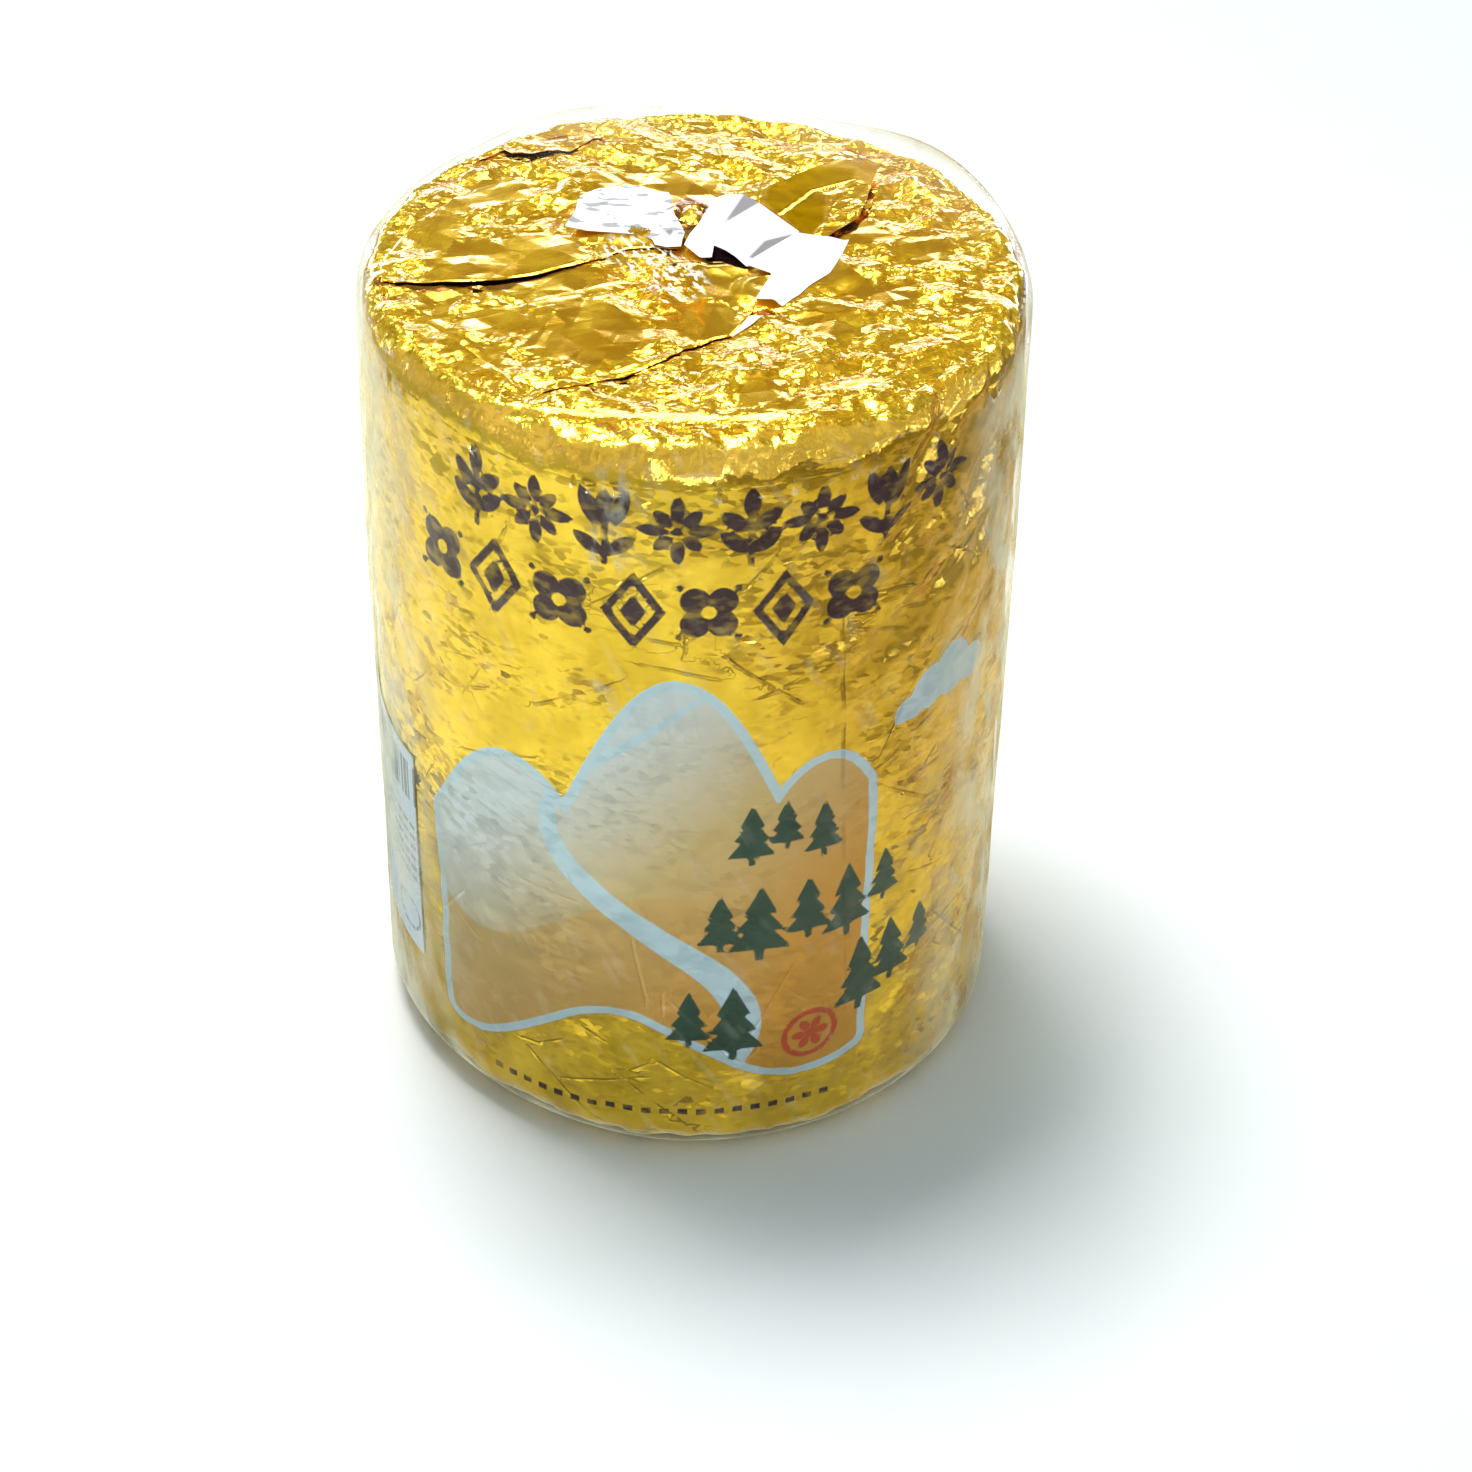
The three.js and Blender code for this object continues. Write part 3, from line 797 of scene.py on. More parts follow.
class Nodes:
    """A node tree, made node by node."""

    def __init__(self, tree):
        self.tree = tree
        tree.nodes.clear()

    def add(self, kind, inputs=(), **settings):
        """A node with its settings and its inputs, each a value or another node's socket."""
        node = self.tree.nodes.new("ShaderNode" + kind)
        for key, value in settings.items():
            setattr(node, key, value)
        for key, value in dict(inputs).items():
            self.feed(node.inputs[key], value)
        return node

    def feed(self, socket, value):
        if isinstance(value, bpy.types.NodeSocket):
            self.tree.links.new(value, socket)
        else:
            socket.default_value = value

    def math(self, operation, first, second=0.0):
        return self.add("Math", {0: first, 1: second}, operation=operation).outputs[0]

    def chain(self, operation, first, *others):
        """One number out of several, taken up one after another."""
        for other in others:
            first = self.math(operation, first, other)
        return first

    def product(self, *numbers):
        return self.chain("MULTIPLY", *numbers)

    def total(self, *numbers):
        return self.chain("ADD", *numbers)

    def largest(self, *numbers):
        return self.chain("MAXIMUM", *numbers)

    def away(self, value, middle):
        """How far a number is from another."""
        return self.math("ABSOLUTE", self.math("SUBTRACT", value, middle))

    def vector(self, operation, *parts):
        return self.add("VectorMath", dict(enumerate(parts)), operation=operation).outputs[0]

    def distance(self, first, second):
        return self.add("VectorMath", {0: first, 1: second}, operation="DISTANCE").outputs["Value"]

    def axes(self, place):
        """The x, y and z of a place."""
        return self.add("SeparateXYZ", {0: place}).outputs

    def attribute(self, name):
        return self.add("Attribute", attribute_name=name).outputs["Fac"]

    def ramp(self, value, from_low, from_high, to_low=0.0, to_high=1.0):
        inputs = {"Value": value, "From Min": from_low, "From Max": from_high}
        inputs.update({"To Min": to_low, "To Max": to_high})
        return self.add("MapRange", inputs).outputs[0]

    def inside(self, name, edge=0.0, soft=0.15):
        """1 where a distance is under the edge, with a slightly soft border."""
        return self.ramp(self.attribute(name), edge + soft, edge - soft)

    def mix(self, share, first, second):
        """A colour between two colours."""
        node = self.add("Mix", data_type="RGBA")
        for index, value in ((0, share), (6, first), (7, second)):
            self.feed(node.inputs[index], value)
        return node.outputs[2]

    def noise(self, vector, scale, detail=2.0, roughness=0.5):
        inputs = {"Vector": vector, "Scale": scale, "Detail": detail, "Roughness": roughness}
        return self.add("TexNoise", inputs).outputs[0]

    def place(self, scale=(1.0, 1.0, 1.0), turn=(0.0, 0.0, 0.0)):
        """The place on the piece, in metres, turned and then scaled."""
        coordinate = self.add("TexCoord").outputs["Object"]
        if scale == (1.0, 1.0, 1.0):
            return coordinate
        turned = self.add("Mapping", {"Vector": coordinate, "Rotation": turn}).outputs[0]
        return self.add("Mapping", {"Vector": turned, "Scale": scale}).outputs[0]

    def blend(self, share, first, second):
        """A shader between two shaders."""
        return self.add("MixShader", {0: share, 1: first, 2: second}).outputs[0]


def finished_material(name, build):
    """A material whose node tree is made by a function that returns its shader."""
    material = bpy.data.materials.new(name)
    material.use_nodes = True
    nodes = Nodes(material.node_tree)
    shader = build(nodes)
    output = nodes.add("OutputMaterial")
    nodes.feed(output.inputs["Surface"], shader)
    return material


def colour(red, green, blue):
    """A screen colour from 0 to 255 as linear light."""
    linear = [((part / 255 + 0.055) / 1.055) ** 2.4 for part in (red, green, blue)]
    return (*linear, 1.0)


WHITE = (1.0, 1.0, 1.0, 1.0)
GOLD = (0.88, 0.55, 0.035, 1.0)
GOLD_DEEP = (0.8, 0.45, 0.02, 1.0)
SIDE_GOLD = (0.84, 0.58, 0.05, 1.0)
SIDE_GOLD_DEEP = (0.68, 0.46, 0.03, 1.0)
# Painted shade of the gold leaves: their shaded parts are duller and mirror with a warmer tint at a
# glancing angle
GOLD_SHADE = (0.56, 0.34, 0.012, 1.0)
GOLD_SHADE_GLANCING = (0.9, 0.6, 0.1, 1.0)
SILVER = (0.93, 0.93, 0.94, 1.0)
# Painted shade of the silver's folded wedges, also the colour of its faint marks
SILVER_SHADE = colour(134, 128, 124)
INK_BROWN = colour(60, 34, 42)
INK_PALE_BLUE = colour(190, 214, 222)
INK_GREY_BLUE = colour(204, 214, 214)
INK_TAN = colour(206, 180, 120)
INK_ORANGE = colour(206, 148, 50)
INK_GREEN = colour(40, 72, 58)
INK_RED = colour(196, 78, 40)
FILM_GLOSS = (1.0, 0.97, 0.62, 1.0)
FILM_HAZE = (1.0, 0.94, 0.76, 1.0)
FILM_RIGHT_HAZE = (1.0, 0.88, 0.62, 1.0)
# Painted shade: the film's brown haze where it stands off in wings
FILM_WING_SHADE_HAZE = (0.56, 0.44, 0.2, 1.0)
# Painted shade: brown in the side's creases, the hollow and a ring round the cup, dark in the hole
CREASE_SHADE_BROWN = colour(92, 62, 14)
HOLLOW_SHADE_BROWN = colour(140, 88, 32)
HOLE_SHADE_DARK = colour(34, 14, 18)
CUP_SHADE_BROWN = colour(104, 54, 10)


def faceted_normal(nodes, layers):
    """The surface's normal, tilted at random in the cells of each layer, which gives flat facets with crisp
    edges. A layer has its cells for each metre along its own axes, the turn of these axes in degrees, its
    tilt and its share of the surface."""
    normal = nodes.add("NewGeometry").outputs["Normal"]
    for cells, turn, tilt, share in layers:
        place = nodes.place(cells, tuple(math.radians(part) for part in turn))
        cell = nodes.add("TexVoronoi", {"Vector": place, "Scale": 1.0}).outputs["Color"]
        lean = nodes.vector("SUBTRACT", cell, (0.5, 0.5, 0.5))
        normal = nodes.vector("MULTIPLY_ADD", lean, nodes.product(share, tilt), normal)
    return nodes.vector("NORMALIZE", normal)


def leaning(nodes, normal, amount, direction):
    """A normal that leans towards a direction by an amount."""
    return nodes.vector("NORMALIZE", nodes.vector("MULTIPLY_ADD", direction, amount, normal))


def crease_mark(nodes, middle, half_width):
    """1 on a line beside the side's creases, which fade here and there."""
    away = nodes.away(nodes.attribute("crease"), middle)
    shown = nodes.ramp(nodes.noise(nodes.place(), 100.0, 1.0), 0.38, 0.55)
    return nodes.product(nodes.ramp(away, half_width, 0.4 * half_width), shown)


def gold_shader(nodes, base, metallic, roughness, normal, glancing=WHITE):
    """Metal with a base colour, and the tint of what it mirrors at a glancing angle."""
    inputs = {
        "Base Color": base,
        "Metallic": metallic,
        "Roughness": roughness,
        "Specular Tint": glancing,
        "Normal": normal,
    }
    return nodes.add("BsdfPrincipled", inputs).outputs[0]


def mottled(nodes, scale, first, second):
    """A colour that wanders between two, as foil does."""
    return nodes.mix(nodes.ramp(nodes.noise(nodes.place(), scale, 2.0, 0.6), 0.38, 0.62), first, second)


def printed_gold(nodes):
    """Gold foil with the printed design in coloured inks, and painted shade along its creases."""
    base = mottled(nodes, 70.0, SIDE_GOLD, SIDE_GOLD_DEEP)
    arc = nodes.attribute("arc")
    height = nodes.attribute("height")
    slant = nodes.math("SUBTRACT", arc, height)
    far_ground = nodes.mix(nodes.ramp(slant, -122.0, -80.0), INK_GREY_BLUE, INK_TAN)
    far_ground = nodes.mix(nodes.ramp(slant, -80.0, -35.0), far_ground, INK_ORANGE)
    near_ground = nodes.mix(nodes.ramp(slant, -105.0, -25.0), INK_TAN, INK_ORANGE)
    dashes = nodes.product(
        nodes.ramp(nodes.math("PINGPONG", arc, DASH_LENGTH), 1.1, 0.9),
        nodes.ramp(nodes.away(height, DASH_ROW_HEIGHT), 0.9, 0.6),
        nodes.ramp(nodes.away(arc, DASH_ROW_MIDDLE), DASH_ROW_REACH + 0.5, DASH_ROW_REACH),
    )
    landscape = nodes.inside("landscape")
    layers = [
        (landscape, far_ground),
        (nodes.inside("meadow", soft=0.5), near_ground),
        (nodes.inside("stream"), INK_PALE_BLUE),
        (nodes.math("SUBTRACT", landscape, nodes.inside("landscape", -2.0)), INK_PALE_BLUE),
        (nodes.inside("cloud"), INK_PALE_BLUE),
        (nodes.inside("woods"), INK_GREEN),
        (nodes.inside("flower_disc"), INK_ORANGE),
        (nodes.inside("flower_ring"), INK_RED),
        (nodes.inside("flower"), INK_RED),
        (nodes.inside("ornament"), INK_BROWN),
        (dashes, INK_BROWN),
    ]
    worn = nodes.ramp(nodes.noise(nodes.place((1.0, 1.0, 1.8)), 220.0, 2.0), 0.5, 0.68, 1.0, 0.62)
    for share, ink in layers:
        base = nodes.mix(nodes.product(share, worn) if ink == INK_BROWN else share, base, ink)
    inked = nodes.largest(*(share for share, ink in layers))
    # Painted shade: a dark brown line along the side's creases, fainter on the inks
    marked = nodes.product(crease_mark(nodes, 0.0, 0.32), nodes.ramp(inked, 0.0, 1.0, 0.6, 0.2))
    base = nodes.mix(marked, base, CREASE_SHADE_BROWN)
    metallic = nodes.ramp(inked, 0.0, 1.0, 1.0, 0.5)
    roughness = nodes.ramp(inked, 0.0, 1.0, 0.2, 0.32)
    broken = nodes.product(
        nodes.ramp(nodes.noise(nodes.place(), 45.0, 1.0), 0.4, 0.6, 0.3, 1.0),
        nodes.ramp(inked, 0.0, 1.0, 1.0, 0.55),
    )
    facet_layers = [
        ((150.0, 150.0, 300.0), (0.0, 14.0, 0.0), 0.26, broken),
        ((420.0, 420.0, 900.0), (0.0, -8.0, 0.0), 0.45, broken),
    ]
    flank = nodes.product(crease_mark(nodes, 0.5, 0.45), 0.22)
    normal = leaning(nodes, faceted_normal(nodes, facet_layers), flank, (0.0, 0.0, 1.0))
    return gold_shader(nodes, base, metallic, roughness, normal)


def top_normal(nodes):
    """Flat facets where the foil is rough, and a lean towards the front on its bright folds."""
    rough = nodes.attribute("rough")
    layers = [
        ((160.0, 330.0, 300.0), (0.0, 0.0, 18.0), 0.19, rough),
        ((340.0, 800.0, 600.0), (0.0, 0.0, -12.0), 0.22, rough),
    ]
    return leaning(nodes, faceted_normal(nodes, layers), nodes.attribute("glint"), (-0.04, -0.2, 0.0))


def plain_gold(nodes):
    """Bare gold foil, duller in its shaded parts, which are painted shade."""
    shade = nodes.product(nodes.inside("shade", soft=0.4), 0.75)
    base = nodes.mix(shade, mottled(nodes, 90.0, GOLD, GOLD_DEEP), GOLD_SHADE)
    glancing = nodes.mix(shade, WHITE, GOLD_SHADE_GLANCING)
    return gold_shader(nodes, base, 1.0, 0.12, top_normal(nodes), glancing)


def gold_with_hole(nodes):
    """Bare gold foil, brown with painted shade in the hollow and round the cup, with the side's gold on the
    rim and a dark hole, which is painted shade too."""
    base = mottled(nodes, 90.0, GOLD, GOLD_DEEP)
    base = nodes.mix(nodes.attribute("rim"), base, mottled(nodes, 70.0, SIDE_GOLD, SIDE_GOLD_DEEP))
    # Painted shade: brown in the hollow in front of the back left flap
    base = nodes.mix(nodes.product(nodes.inside("shade", soft=0.3), 0.85), base, HOLLOW_SHADE_BROWN)
    # Painted shade: a brown ring round the cup
    base = nodes.mix(nodes.ramp(nodes.attribute("cup"), 1.6, 0.6, 0.0, 0.85), base, CUP_SHADE_BROWN)
    gold = gold_shader(nodes, base, 1.0, 0.12, top_normal(nodes))
    # Painted shade: the hole is a dark matte colour
    dark = nodes.add("BsdfDiffuse", {"Color": HOLE_SHADE_DARK}).outputs[0]
    return nodes.blend(nodes.inside("hole", soft=0.3), gold, dark)


def bare_silver(nodes):
    """The dull silver inside of the foil, with painted shade on its folded wedges and faint marks on the
    left tip.
    """
    marks = nodes.ramp(nodes.noise(nodes.place((0.4, 1.0, 1.0)), 560.0, 2.0), 0.54, 0.6)
    marks = nodes.product(marks, nodes.attribute("marked"))
    # Painted shade on the folded wedges, and the faint marks, in a grey colour
    shade = nodes.largest(nodes.inside("shade", soft=0.4), marks)
    base = nodes.mix(shade, SILVER, SILVER_SHADE)
    inputs = {"Base Color": base, "Roughness": 0.5, "Specular IOR Level": 0.2}
    return nodes.add("BsdfPrincipled", inputs).outputs[0]


def dress(piece, material, slot, *nodes):
    """Gives a piece its material, its body and the nodes that it stands for. The slot is not used."""
    piece.data.materials.append(material)
    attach(piece, "root")
    if nodes:
        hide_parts(*nodes)


def sheet_triangles(columns, rows):
    """Faces of a closed thin sheet: two layers of the same grid, the under layer first."""
    line = columns + 1
    layer = line * (rows + 1)
    j, i = np.meshgrid(np.arange(rows), np.arange(columns), indexing="ij")
    a = (j * line + i).ravel()
    face = split_quads(a, a + 1, a + line + 1, a + line, ((i + j) % 2 == 0).ravel())
    low = np.arange(columns)
    high = rows * line + low
    left = np.arange(rows) * line
    right = left + columns
    walls = []
    for start, step, flip in ((low, 1, False), (high, 1, True), (left, line, True), (right, line, False)):
        corners = [start, start + step, start + step + layer, start + layer]
        for picks in ((0, 1, 2), (0, 2, 3)):
            wall = np.stack([corners[pick] for pick in picks], 1)
            walls.append(wall[:, ::-1] if flip else wall)
    return np.concatenate([face + layer, face[:, ::-1], *walls])


def make_sheet(name, columns, rows, place, smooth):
    """A closed thin sheet. The function place gives points for u, v and the layer."""
    v, u = np.meshgrid(np.linspace(0, 1, rows + 1), np.linspace(0, 1, columns + 1), indexing="ij")
    layers = [place(u.ravel(), v.ravel(), layer) for layer in (0, 1)]
    return mesh_object(name, np.concatenate(layers), sheet_triangles(columns, rows), smooth), u, v


def along(corners, share):
    """Points at shares of the length of a bent line."""
    corners = np.array(corners, dtype=float)
    lengths = np.hypot(*np.diff(corners, axis=0).T)
    reached = np.concatenate([[0], np.cumsum(lengths)]) / lengths.sum()
    return np.stack([np.interp(share, reached, corners[:, part]) for part in (0, 1)], 1)


def fold_height(x, y, folds):
    """Height of a flat sheet with straight folds. Past each line, on its right, it rises by a slope."""
    height = np.zeros(len(x))
    for (x0, y0), (x1, y1), slope in folds:
        right = ((x - x0) * (y1 - y0) - (y - y0) * (x1 - x0)) / math.hypot(x1 - x0, y1 - y0)
        height += slope * np.maximum(0, right)
    return height


def crumpled_share(leaf, x, y):
    """1 in the crumpled part of a leaf, 0 in its smooth part."""
    return smooth_step(-polygon_field(x, y, leaf["crumpled"]), -0.5, 0.5)


def leaf_points(leaf, u, v, layer):
    """Points of a leaf of foil between its near and its far edge. It clings to the crumpled foil, with its
    near edge lifted, but nowhere lies lower than its own flat sheet with its folds."""
    plan = along(leaf["near"], u) * (1 - v)[:, None] + along(leaf["far"], u) * v[:, None]
    x, y = plan.T
    flat = np.stack([x, y, 0 * x], 1)
    rumple = leaf["rumple"] * (facets(flat, 5, 21) + 0.5 * facets(flat, 2.4, 22))
    if leaf["crumpled"]:
        rumple += 0.3 * crumpled_share(leaf, x, y) * facets(stretched(x, y, 40, 4), 1.6, 23)
    own = top_height(x, y) + leaf["level"] + fold_height(x, y, leaf["folds"]) + rumple
    own -= leaf["droop"] * smooth_step(-v, -0.4, 0)
    wave = 0.75 + 0.45 * np.sin(9 * u + leaf["level"])
    gape = leaf["gape"] * np.exp(-(((u - 0.3) / 0.17) ** 2))
    raised = LEAF_CLEARANCE + (leaf["lift"] * wave + gape) * (1 - smooth_step(v, 0, 0.3))
    z = np.maximum(own, foil_height(x, y) + raised * smooth_step(u, 0.0, 0.06))
    sink = leaf["sink"] * np.maximum(smooth_step(v, 0.8, 1.0), smooth_step(1 - u, 0.94, 1.0))
    return np.stack([x, y, z - sink + layer * FOIL_THICKNESS], 1)


def add_gold_marks(piece, leaf, x, y, v):
    """Where a gold leaf is rough, and where its edge, its ridges and its crumpled part catch the light."""
    rough = top_roughness(x, y)
    glint = leaf["bright_edge"] * (v < 1.5 / leaf["rows"])
    if leaf["crumpled"]:
        rough = crumpled_share(leaf, x, y)
        glint = np.maximum(glint, 0.35 * rough)
    for start, end in leaf["ridges"]:
        glint = np.maximum(glint, 1 - smooth_step(stroke_field(x, y, start, end, 0), 0.3, 0.8))
    add_attribute(piece, "rough", rough)
    add_attribute(piece, "glint", glint)


def make_leaf(leaf, material, slot):
    """A leaf of foil, with what its finish reads at each vertex."""
    leaf = {**PLAIN_LEAF, **leaf}

    def place(u, v, layer):
        return leaf_points(leaf, u, v, layer)

    piece, u, v = make_sheet(leaf["name"] + "_sheet", leaf["columns"], leaf["rows"], place, False)
    x, y = np.tile(place(u.ravel(), v.ravel(), 0)[:, :2], (2, 1)).T
    if slot == "gold_foil":
        add_gold_marks(piece, leaf, x, y, np.tile(v.ravel(), 2))
    else:
        add_attribute(piece, "marked", np.full(len(x), leaf["marked"]))
    # Painted shade: the leaf's shaded parts, where its colour is duller
    fields = [polygon_field(x, y, corners) for corners in leaf["shaded"]]
    add_attribute(piece, "shade", joined([np.full(len(x), 1e3), *fields]))
    dress(piece, material, slot, leaf["name"])


# The level of a leaf that only clings to the foil under it
NO_OWN_SHEET = -9

# What a leaf has unless it says otherwise. The level is the height of its own flat sheet above the top. The
# sheet has folds and a rumple and droops at the near edge. That edge is lifted and may gape in one place,
# and the far edge and the first end sink into the foil. Ridges and a bright edge catch the light. Shaded
# parts are painted shade, in a duller colour; a crumpled part and faint marks belong to the finish.
PLAIN_LEAF = {
    "level": NO_OWN_SHEET, "folds": [], "rumple": 0.0, "droop": 0.0, "lift": 0.0, "gape": 0.0, "sink": 0.0,
    "ridges": [], "bright_edge": 0.0, "shaded": [], "crumpled": None, "marked": 0.0,
}

GOLD_LEAVES = [
    {
        "name": "back_left_flap", "columns": 130, "rows": 80,
        "near": [
            (-62.6, -6.9), (-59, -6.6), (-51.2, -7.2), (-44.6, -7), (-37.1, -5.8), (-29.6, -2.8),
            (-23, 0.4), (-18.3, 3.2), (-13.6, 6.9), (-6.8, 8), (-3.4, 7.6),
        ],
        "far": [(-62, -3), (-57, 19), (-45, 37), (-34, 41), (-20, 47), (-9, 34), (-5, 14)],
        "lift": 0.2, "gape": 0.3, "sink": 0.9, "bright_edge": 1.0,
    },
    {
        "name": "front_flap", "columns": 130, "rows": 76,
        "near": [
            (-30, -47.5), (-16.9, -40.7), (-9, -36.6), (-6, -34.8), (-1.5, -29.7), (4.1, -25.2),
            (7.1, -24.1), (10.4, -17.4), (11.6, -13.3), (14.9, -3.5),
        ],
        "far": [
            (-56, -18), (-44, -13.5), (-30, -8), (-18, -2), (-11, 3), (-2.1, 5.5), (1, 2.9), (5.1, 2.8),
            (9.9, -0.3),
        ],
        "lift": 0.14, "sink": 0.5, "bright_edge": 0.6,
    },
    {
        "name": "right_leaf", "columns": 60, "rows": 40,
        "near": [(22.4, 7.0), (27.8, 14.2), (32, 19.1), (34, 26.4), (34.5, 30.1), (37.1, 41.8)],
        "far": [(12.3, 23.7), (14.2, 31.4), (18.2, 34.5), (22.9, 39.2), (29, 43.6)],
        "level": 0.3, "rumple": 0.03, "lift": 0.25, "sink": 0.05,
        "ridges": [((16.7, 19.9), (23.1, 29.3)), ((23.2, 29.7), (31.9, 34.6))],
        "shaded": [
            [(14.8, 31.9), (22.9, 40), (32, 39.5), (31.5, 35), (23.2, 30.2), (16.7, 20.3), (13.7, 25)],
            [(23.1, 29), (25.8, 27), (25, 17), (22.5, 12.2), (22.2, 8.3), (19.8, 14.8), (17.6, 19.5)],
        ],
        "crumpled": [
            (23.8, 29.3), (31.9, 34.2), (36, 31), (35, 25), (27.6, 14), (22.5, 11), (25.8, 17), (27.5, 26),
        ],
    },
    {
        "name": "back_rim_fold", "columns": 50, "rows": 12,
        "near": [(-45.6, 39.7), (-38.9, 45), (-33.7, 43.5), (-25.7, 45.9), (-19.8, 52)],
        "far": [(-44.6, 41.6), (-37.8, 47.8), (-30, 51), (-24, 53), (-18.6, 56.4)],
        "lift": 0.35, "sink": 0.7,
    },
]

SILVER_LEAVES = [
    {
        "name": "silver_left_tip", "columns": 44, "rows": 30,
        "near": [
            (-25.5, 14), (-21.6, 12.4), (-16.7, 12.1), (-11.3, 11.9), (-8.3, 10.2), (-7.8, 8), (-5.6, 7.1),
            (-2.7, 7.4),
        ],
        "far": [
            (-23.5, 18.4), (-23.4, 23.4), (-22.5, 25.6), (-19.6, 28.6), (-16, 29.8), (-11.2, 30.8),
            (-8.2, 28.6), (-5.4, 28.2), (-4.6, 24.6), (-4.3, 20.1), (-3, 15.6), (-2, 11.8),
        ],
        "level": 0.1, "rumple": 0.12, "droop": 0.8, "marked": 0.8,
        "folds": [((-24, 17), (-6, 20), 0.05), ((-12, 29), (-9, 11), 0.06)],
        "shaded": [[(-20.3, 22.3), (-17.5, 24), (-17, 22.2)], [(-6.2, 12.5), (-3.6, 14.2), (-4.8, 10)]],
    },
    {
        "name": "silver_back_tip", "columns": 56, "rows": 44,
        "near": [
            (-2.1, 7.4), (1, 3.6), (3.3, 3.7), (3.7, 8), (5.9, 6.3), (7.8, 4), (10.1, 0.2), (12.0, 1.6),
        ],
        "far": [
            (-1, 11.7), (0.5, 15.3), (2.4, 21.3), (3.2, 25.4), (6, 27.5), (9.6, 27.6), (12.3, 23.7),
            (20.3, 12.8),
        ],
        "level": 0.35, "rumple": 0.02,
        "folds": [((5.4, 15.6), (9.7, 28.5), 0.12), ((5.4, 15.6), (12.9, 23.8), -0.12)],
        "shaded": [
            [(5.4, 15.6), (9.7, 28.5), (12.9, 23.8)],
            [(19.9, 12.4), (13.5, 9.5), (10.3, 3.4), (12.5, 2.4)],
        ],
    },
    {
        "name": "silver_right_tip", "columns": 50, "rows": 26,
        "near": [
            (16.9, -13.5), (22.9, -5.5), (26.1, -1.7), (27.5, 2.2), (30.1, 12), (25.5, 10.2), (22.4, 7.2),
        ],
        "far": [(11.7, -13.1), (14.9, -3.5), (9.9, -0.3), (11.3, 2.2), (19.9, 12.4), (22.2, 7.6)],
        "level": 0.62, "rumple": 0.02, "droop": 1.4,
        "folds": [((14.9, -3.5), (22.4, 7.2), 0.02)],
        "shaded": [[(11.3, 1.2), (12.6, 3.4), (11.6, 1.6)]],
    },
    {
        "name": "silver_front_tip", "columns": 14, "rows": 8,
        "near": [(7.4, -23.9), (13.2, -17.9)],
        "far": [(7.1, -23.4), (10.4, -17.1)],
        "lift": 0.1,
        "shaded": [[(10.4, -18.6), (12.9, -17.9), (11.5, -18.9)]],
    },
]


def stretch_of(nodes, value, stretch):
    """1 where a number is in a stretch, with a slightly soft border."""
    low, high = stretch
    return nodes.product(nodes.ramp(value, low - 0.2, low + 0.2), nodes.ramp(value, high + 0.2, high - 0.2))


def label_paper(nodes):
    """Pale paper with plain bars, dashes and a ring, and no lettering."""
    across = nodes.attribute("label_across")
    up = nodes.attribute("label_up")
    paper = nodes.mix(nodes.noise(nodes.place(), 80.0, 3.0), colour(206, 220, 234), colour(222, 232, 242))
    bars = nodes.math("GREATER_THAN", nodes.noise(across, 1.0, 0.0), 0.5)
    bars = nodes.product(bars, stretch_of(nodes, up, LABEL_BARS))
    lines = nodes.ramp(nodes.math("PINGPONG", up, 1.4), 0.55, 0.45)
    gaps = nodes.ramp(nodes.math("PINGPONG", across, 1.7), 1.3, 1.2)
    lines = nodes.product(lines, gaps, stretch_of(nodes, up, LABEL_LINES))
    ring = nodes.ramp(nodes.attribute("label_ring"), 0.45, 0.25)
    marks = nodes.product(nodes.largest(bars, lines, ring), 0.75)
    base = nodes.mix(marks, paper, colour(70, 78, 96))
    return nodes.add("BsdfPrincipled", {"Base Color": base, "Roughness": 0.5}).outputs[0]


def make_label():
    """The label, a thin sheet of paper round the left of the side."""

    def place(u, v, layer):
        angle = LABEL_LEFT_ANGLE + (LABEL_RIGHT_ANGLE - LABEL_LEFT_ANGLE) * u
        z = LABEL_BOTTOM + (LABEL_TOP - LABEL_BOTTOM) * v
        turn = np.radians(angle)
        ripple = 0.06 * facets(np.stack([angle, z, z * 0], 1), 9, 31)
        radius = wall_radius(angle, z) + 0.1 + ripple + layer * FOIL_THICKNESS
        return np.stack([radius * np.sin(turn), -radius * np.cos(turn), z], 1)

    piece, u, v = make_sheet("side_label_sheet", 60, 50, place, True)
    across = np.tile(u.ravel() * math.radians(LABEL_RIGHT_ANGLE - LABEL_LEFT_ANGLE) * DRUM_RADIUS, 2)
    up = np.tile(v.ravel() * (LABEL_TOP - LABEL_BOTTOM), 2)
    add_attribute(piece, "label_across", across)
    add_attribute(piece, "label_up", up)
    from_ring = np.hypot((across - LABEL_RING_ACROSS) / LABEL_RING_STRETCH, up - LABEL_RING_UP)
    add_attribute(piece, "label_ring", np.abs(from_ring - LABEL_RING_RADIUS))
    dress(piece, finished_material("label_paper", label_paper), "label_paper", "side_label")


def film_wing(angle, station):
    """How far the film stands off in its wings at the rim."""
    wing = sum(reach * hump(angle, centre, spread) for centre, spread, reach in FILM_WINGS)
    return wing * np.exp(-(((station - RIM_STATION) / 0.45) ** 2))


def film_gap(angle, station):
    """The film's distance from the foil."""
    rise = (FILM_RIM_GAP - FILM_SIDE_GAP) * smooth_step(station, 2, 2.4)
    rise += (FILM_CENTRE_GAP - FILM_RIM_GAP) * smooth_step(station, 2.95, 3.3)
    return FILM_SIDE_GAP + rise + film_wing(angle, station)


def see_through(nodes):
    return nodes.add("BsdfTransparent", {"Color": WHITE}).outputs[0]


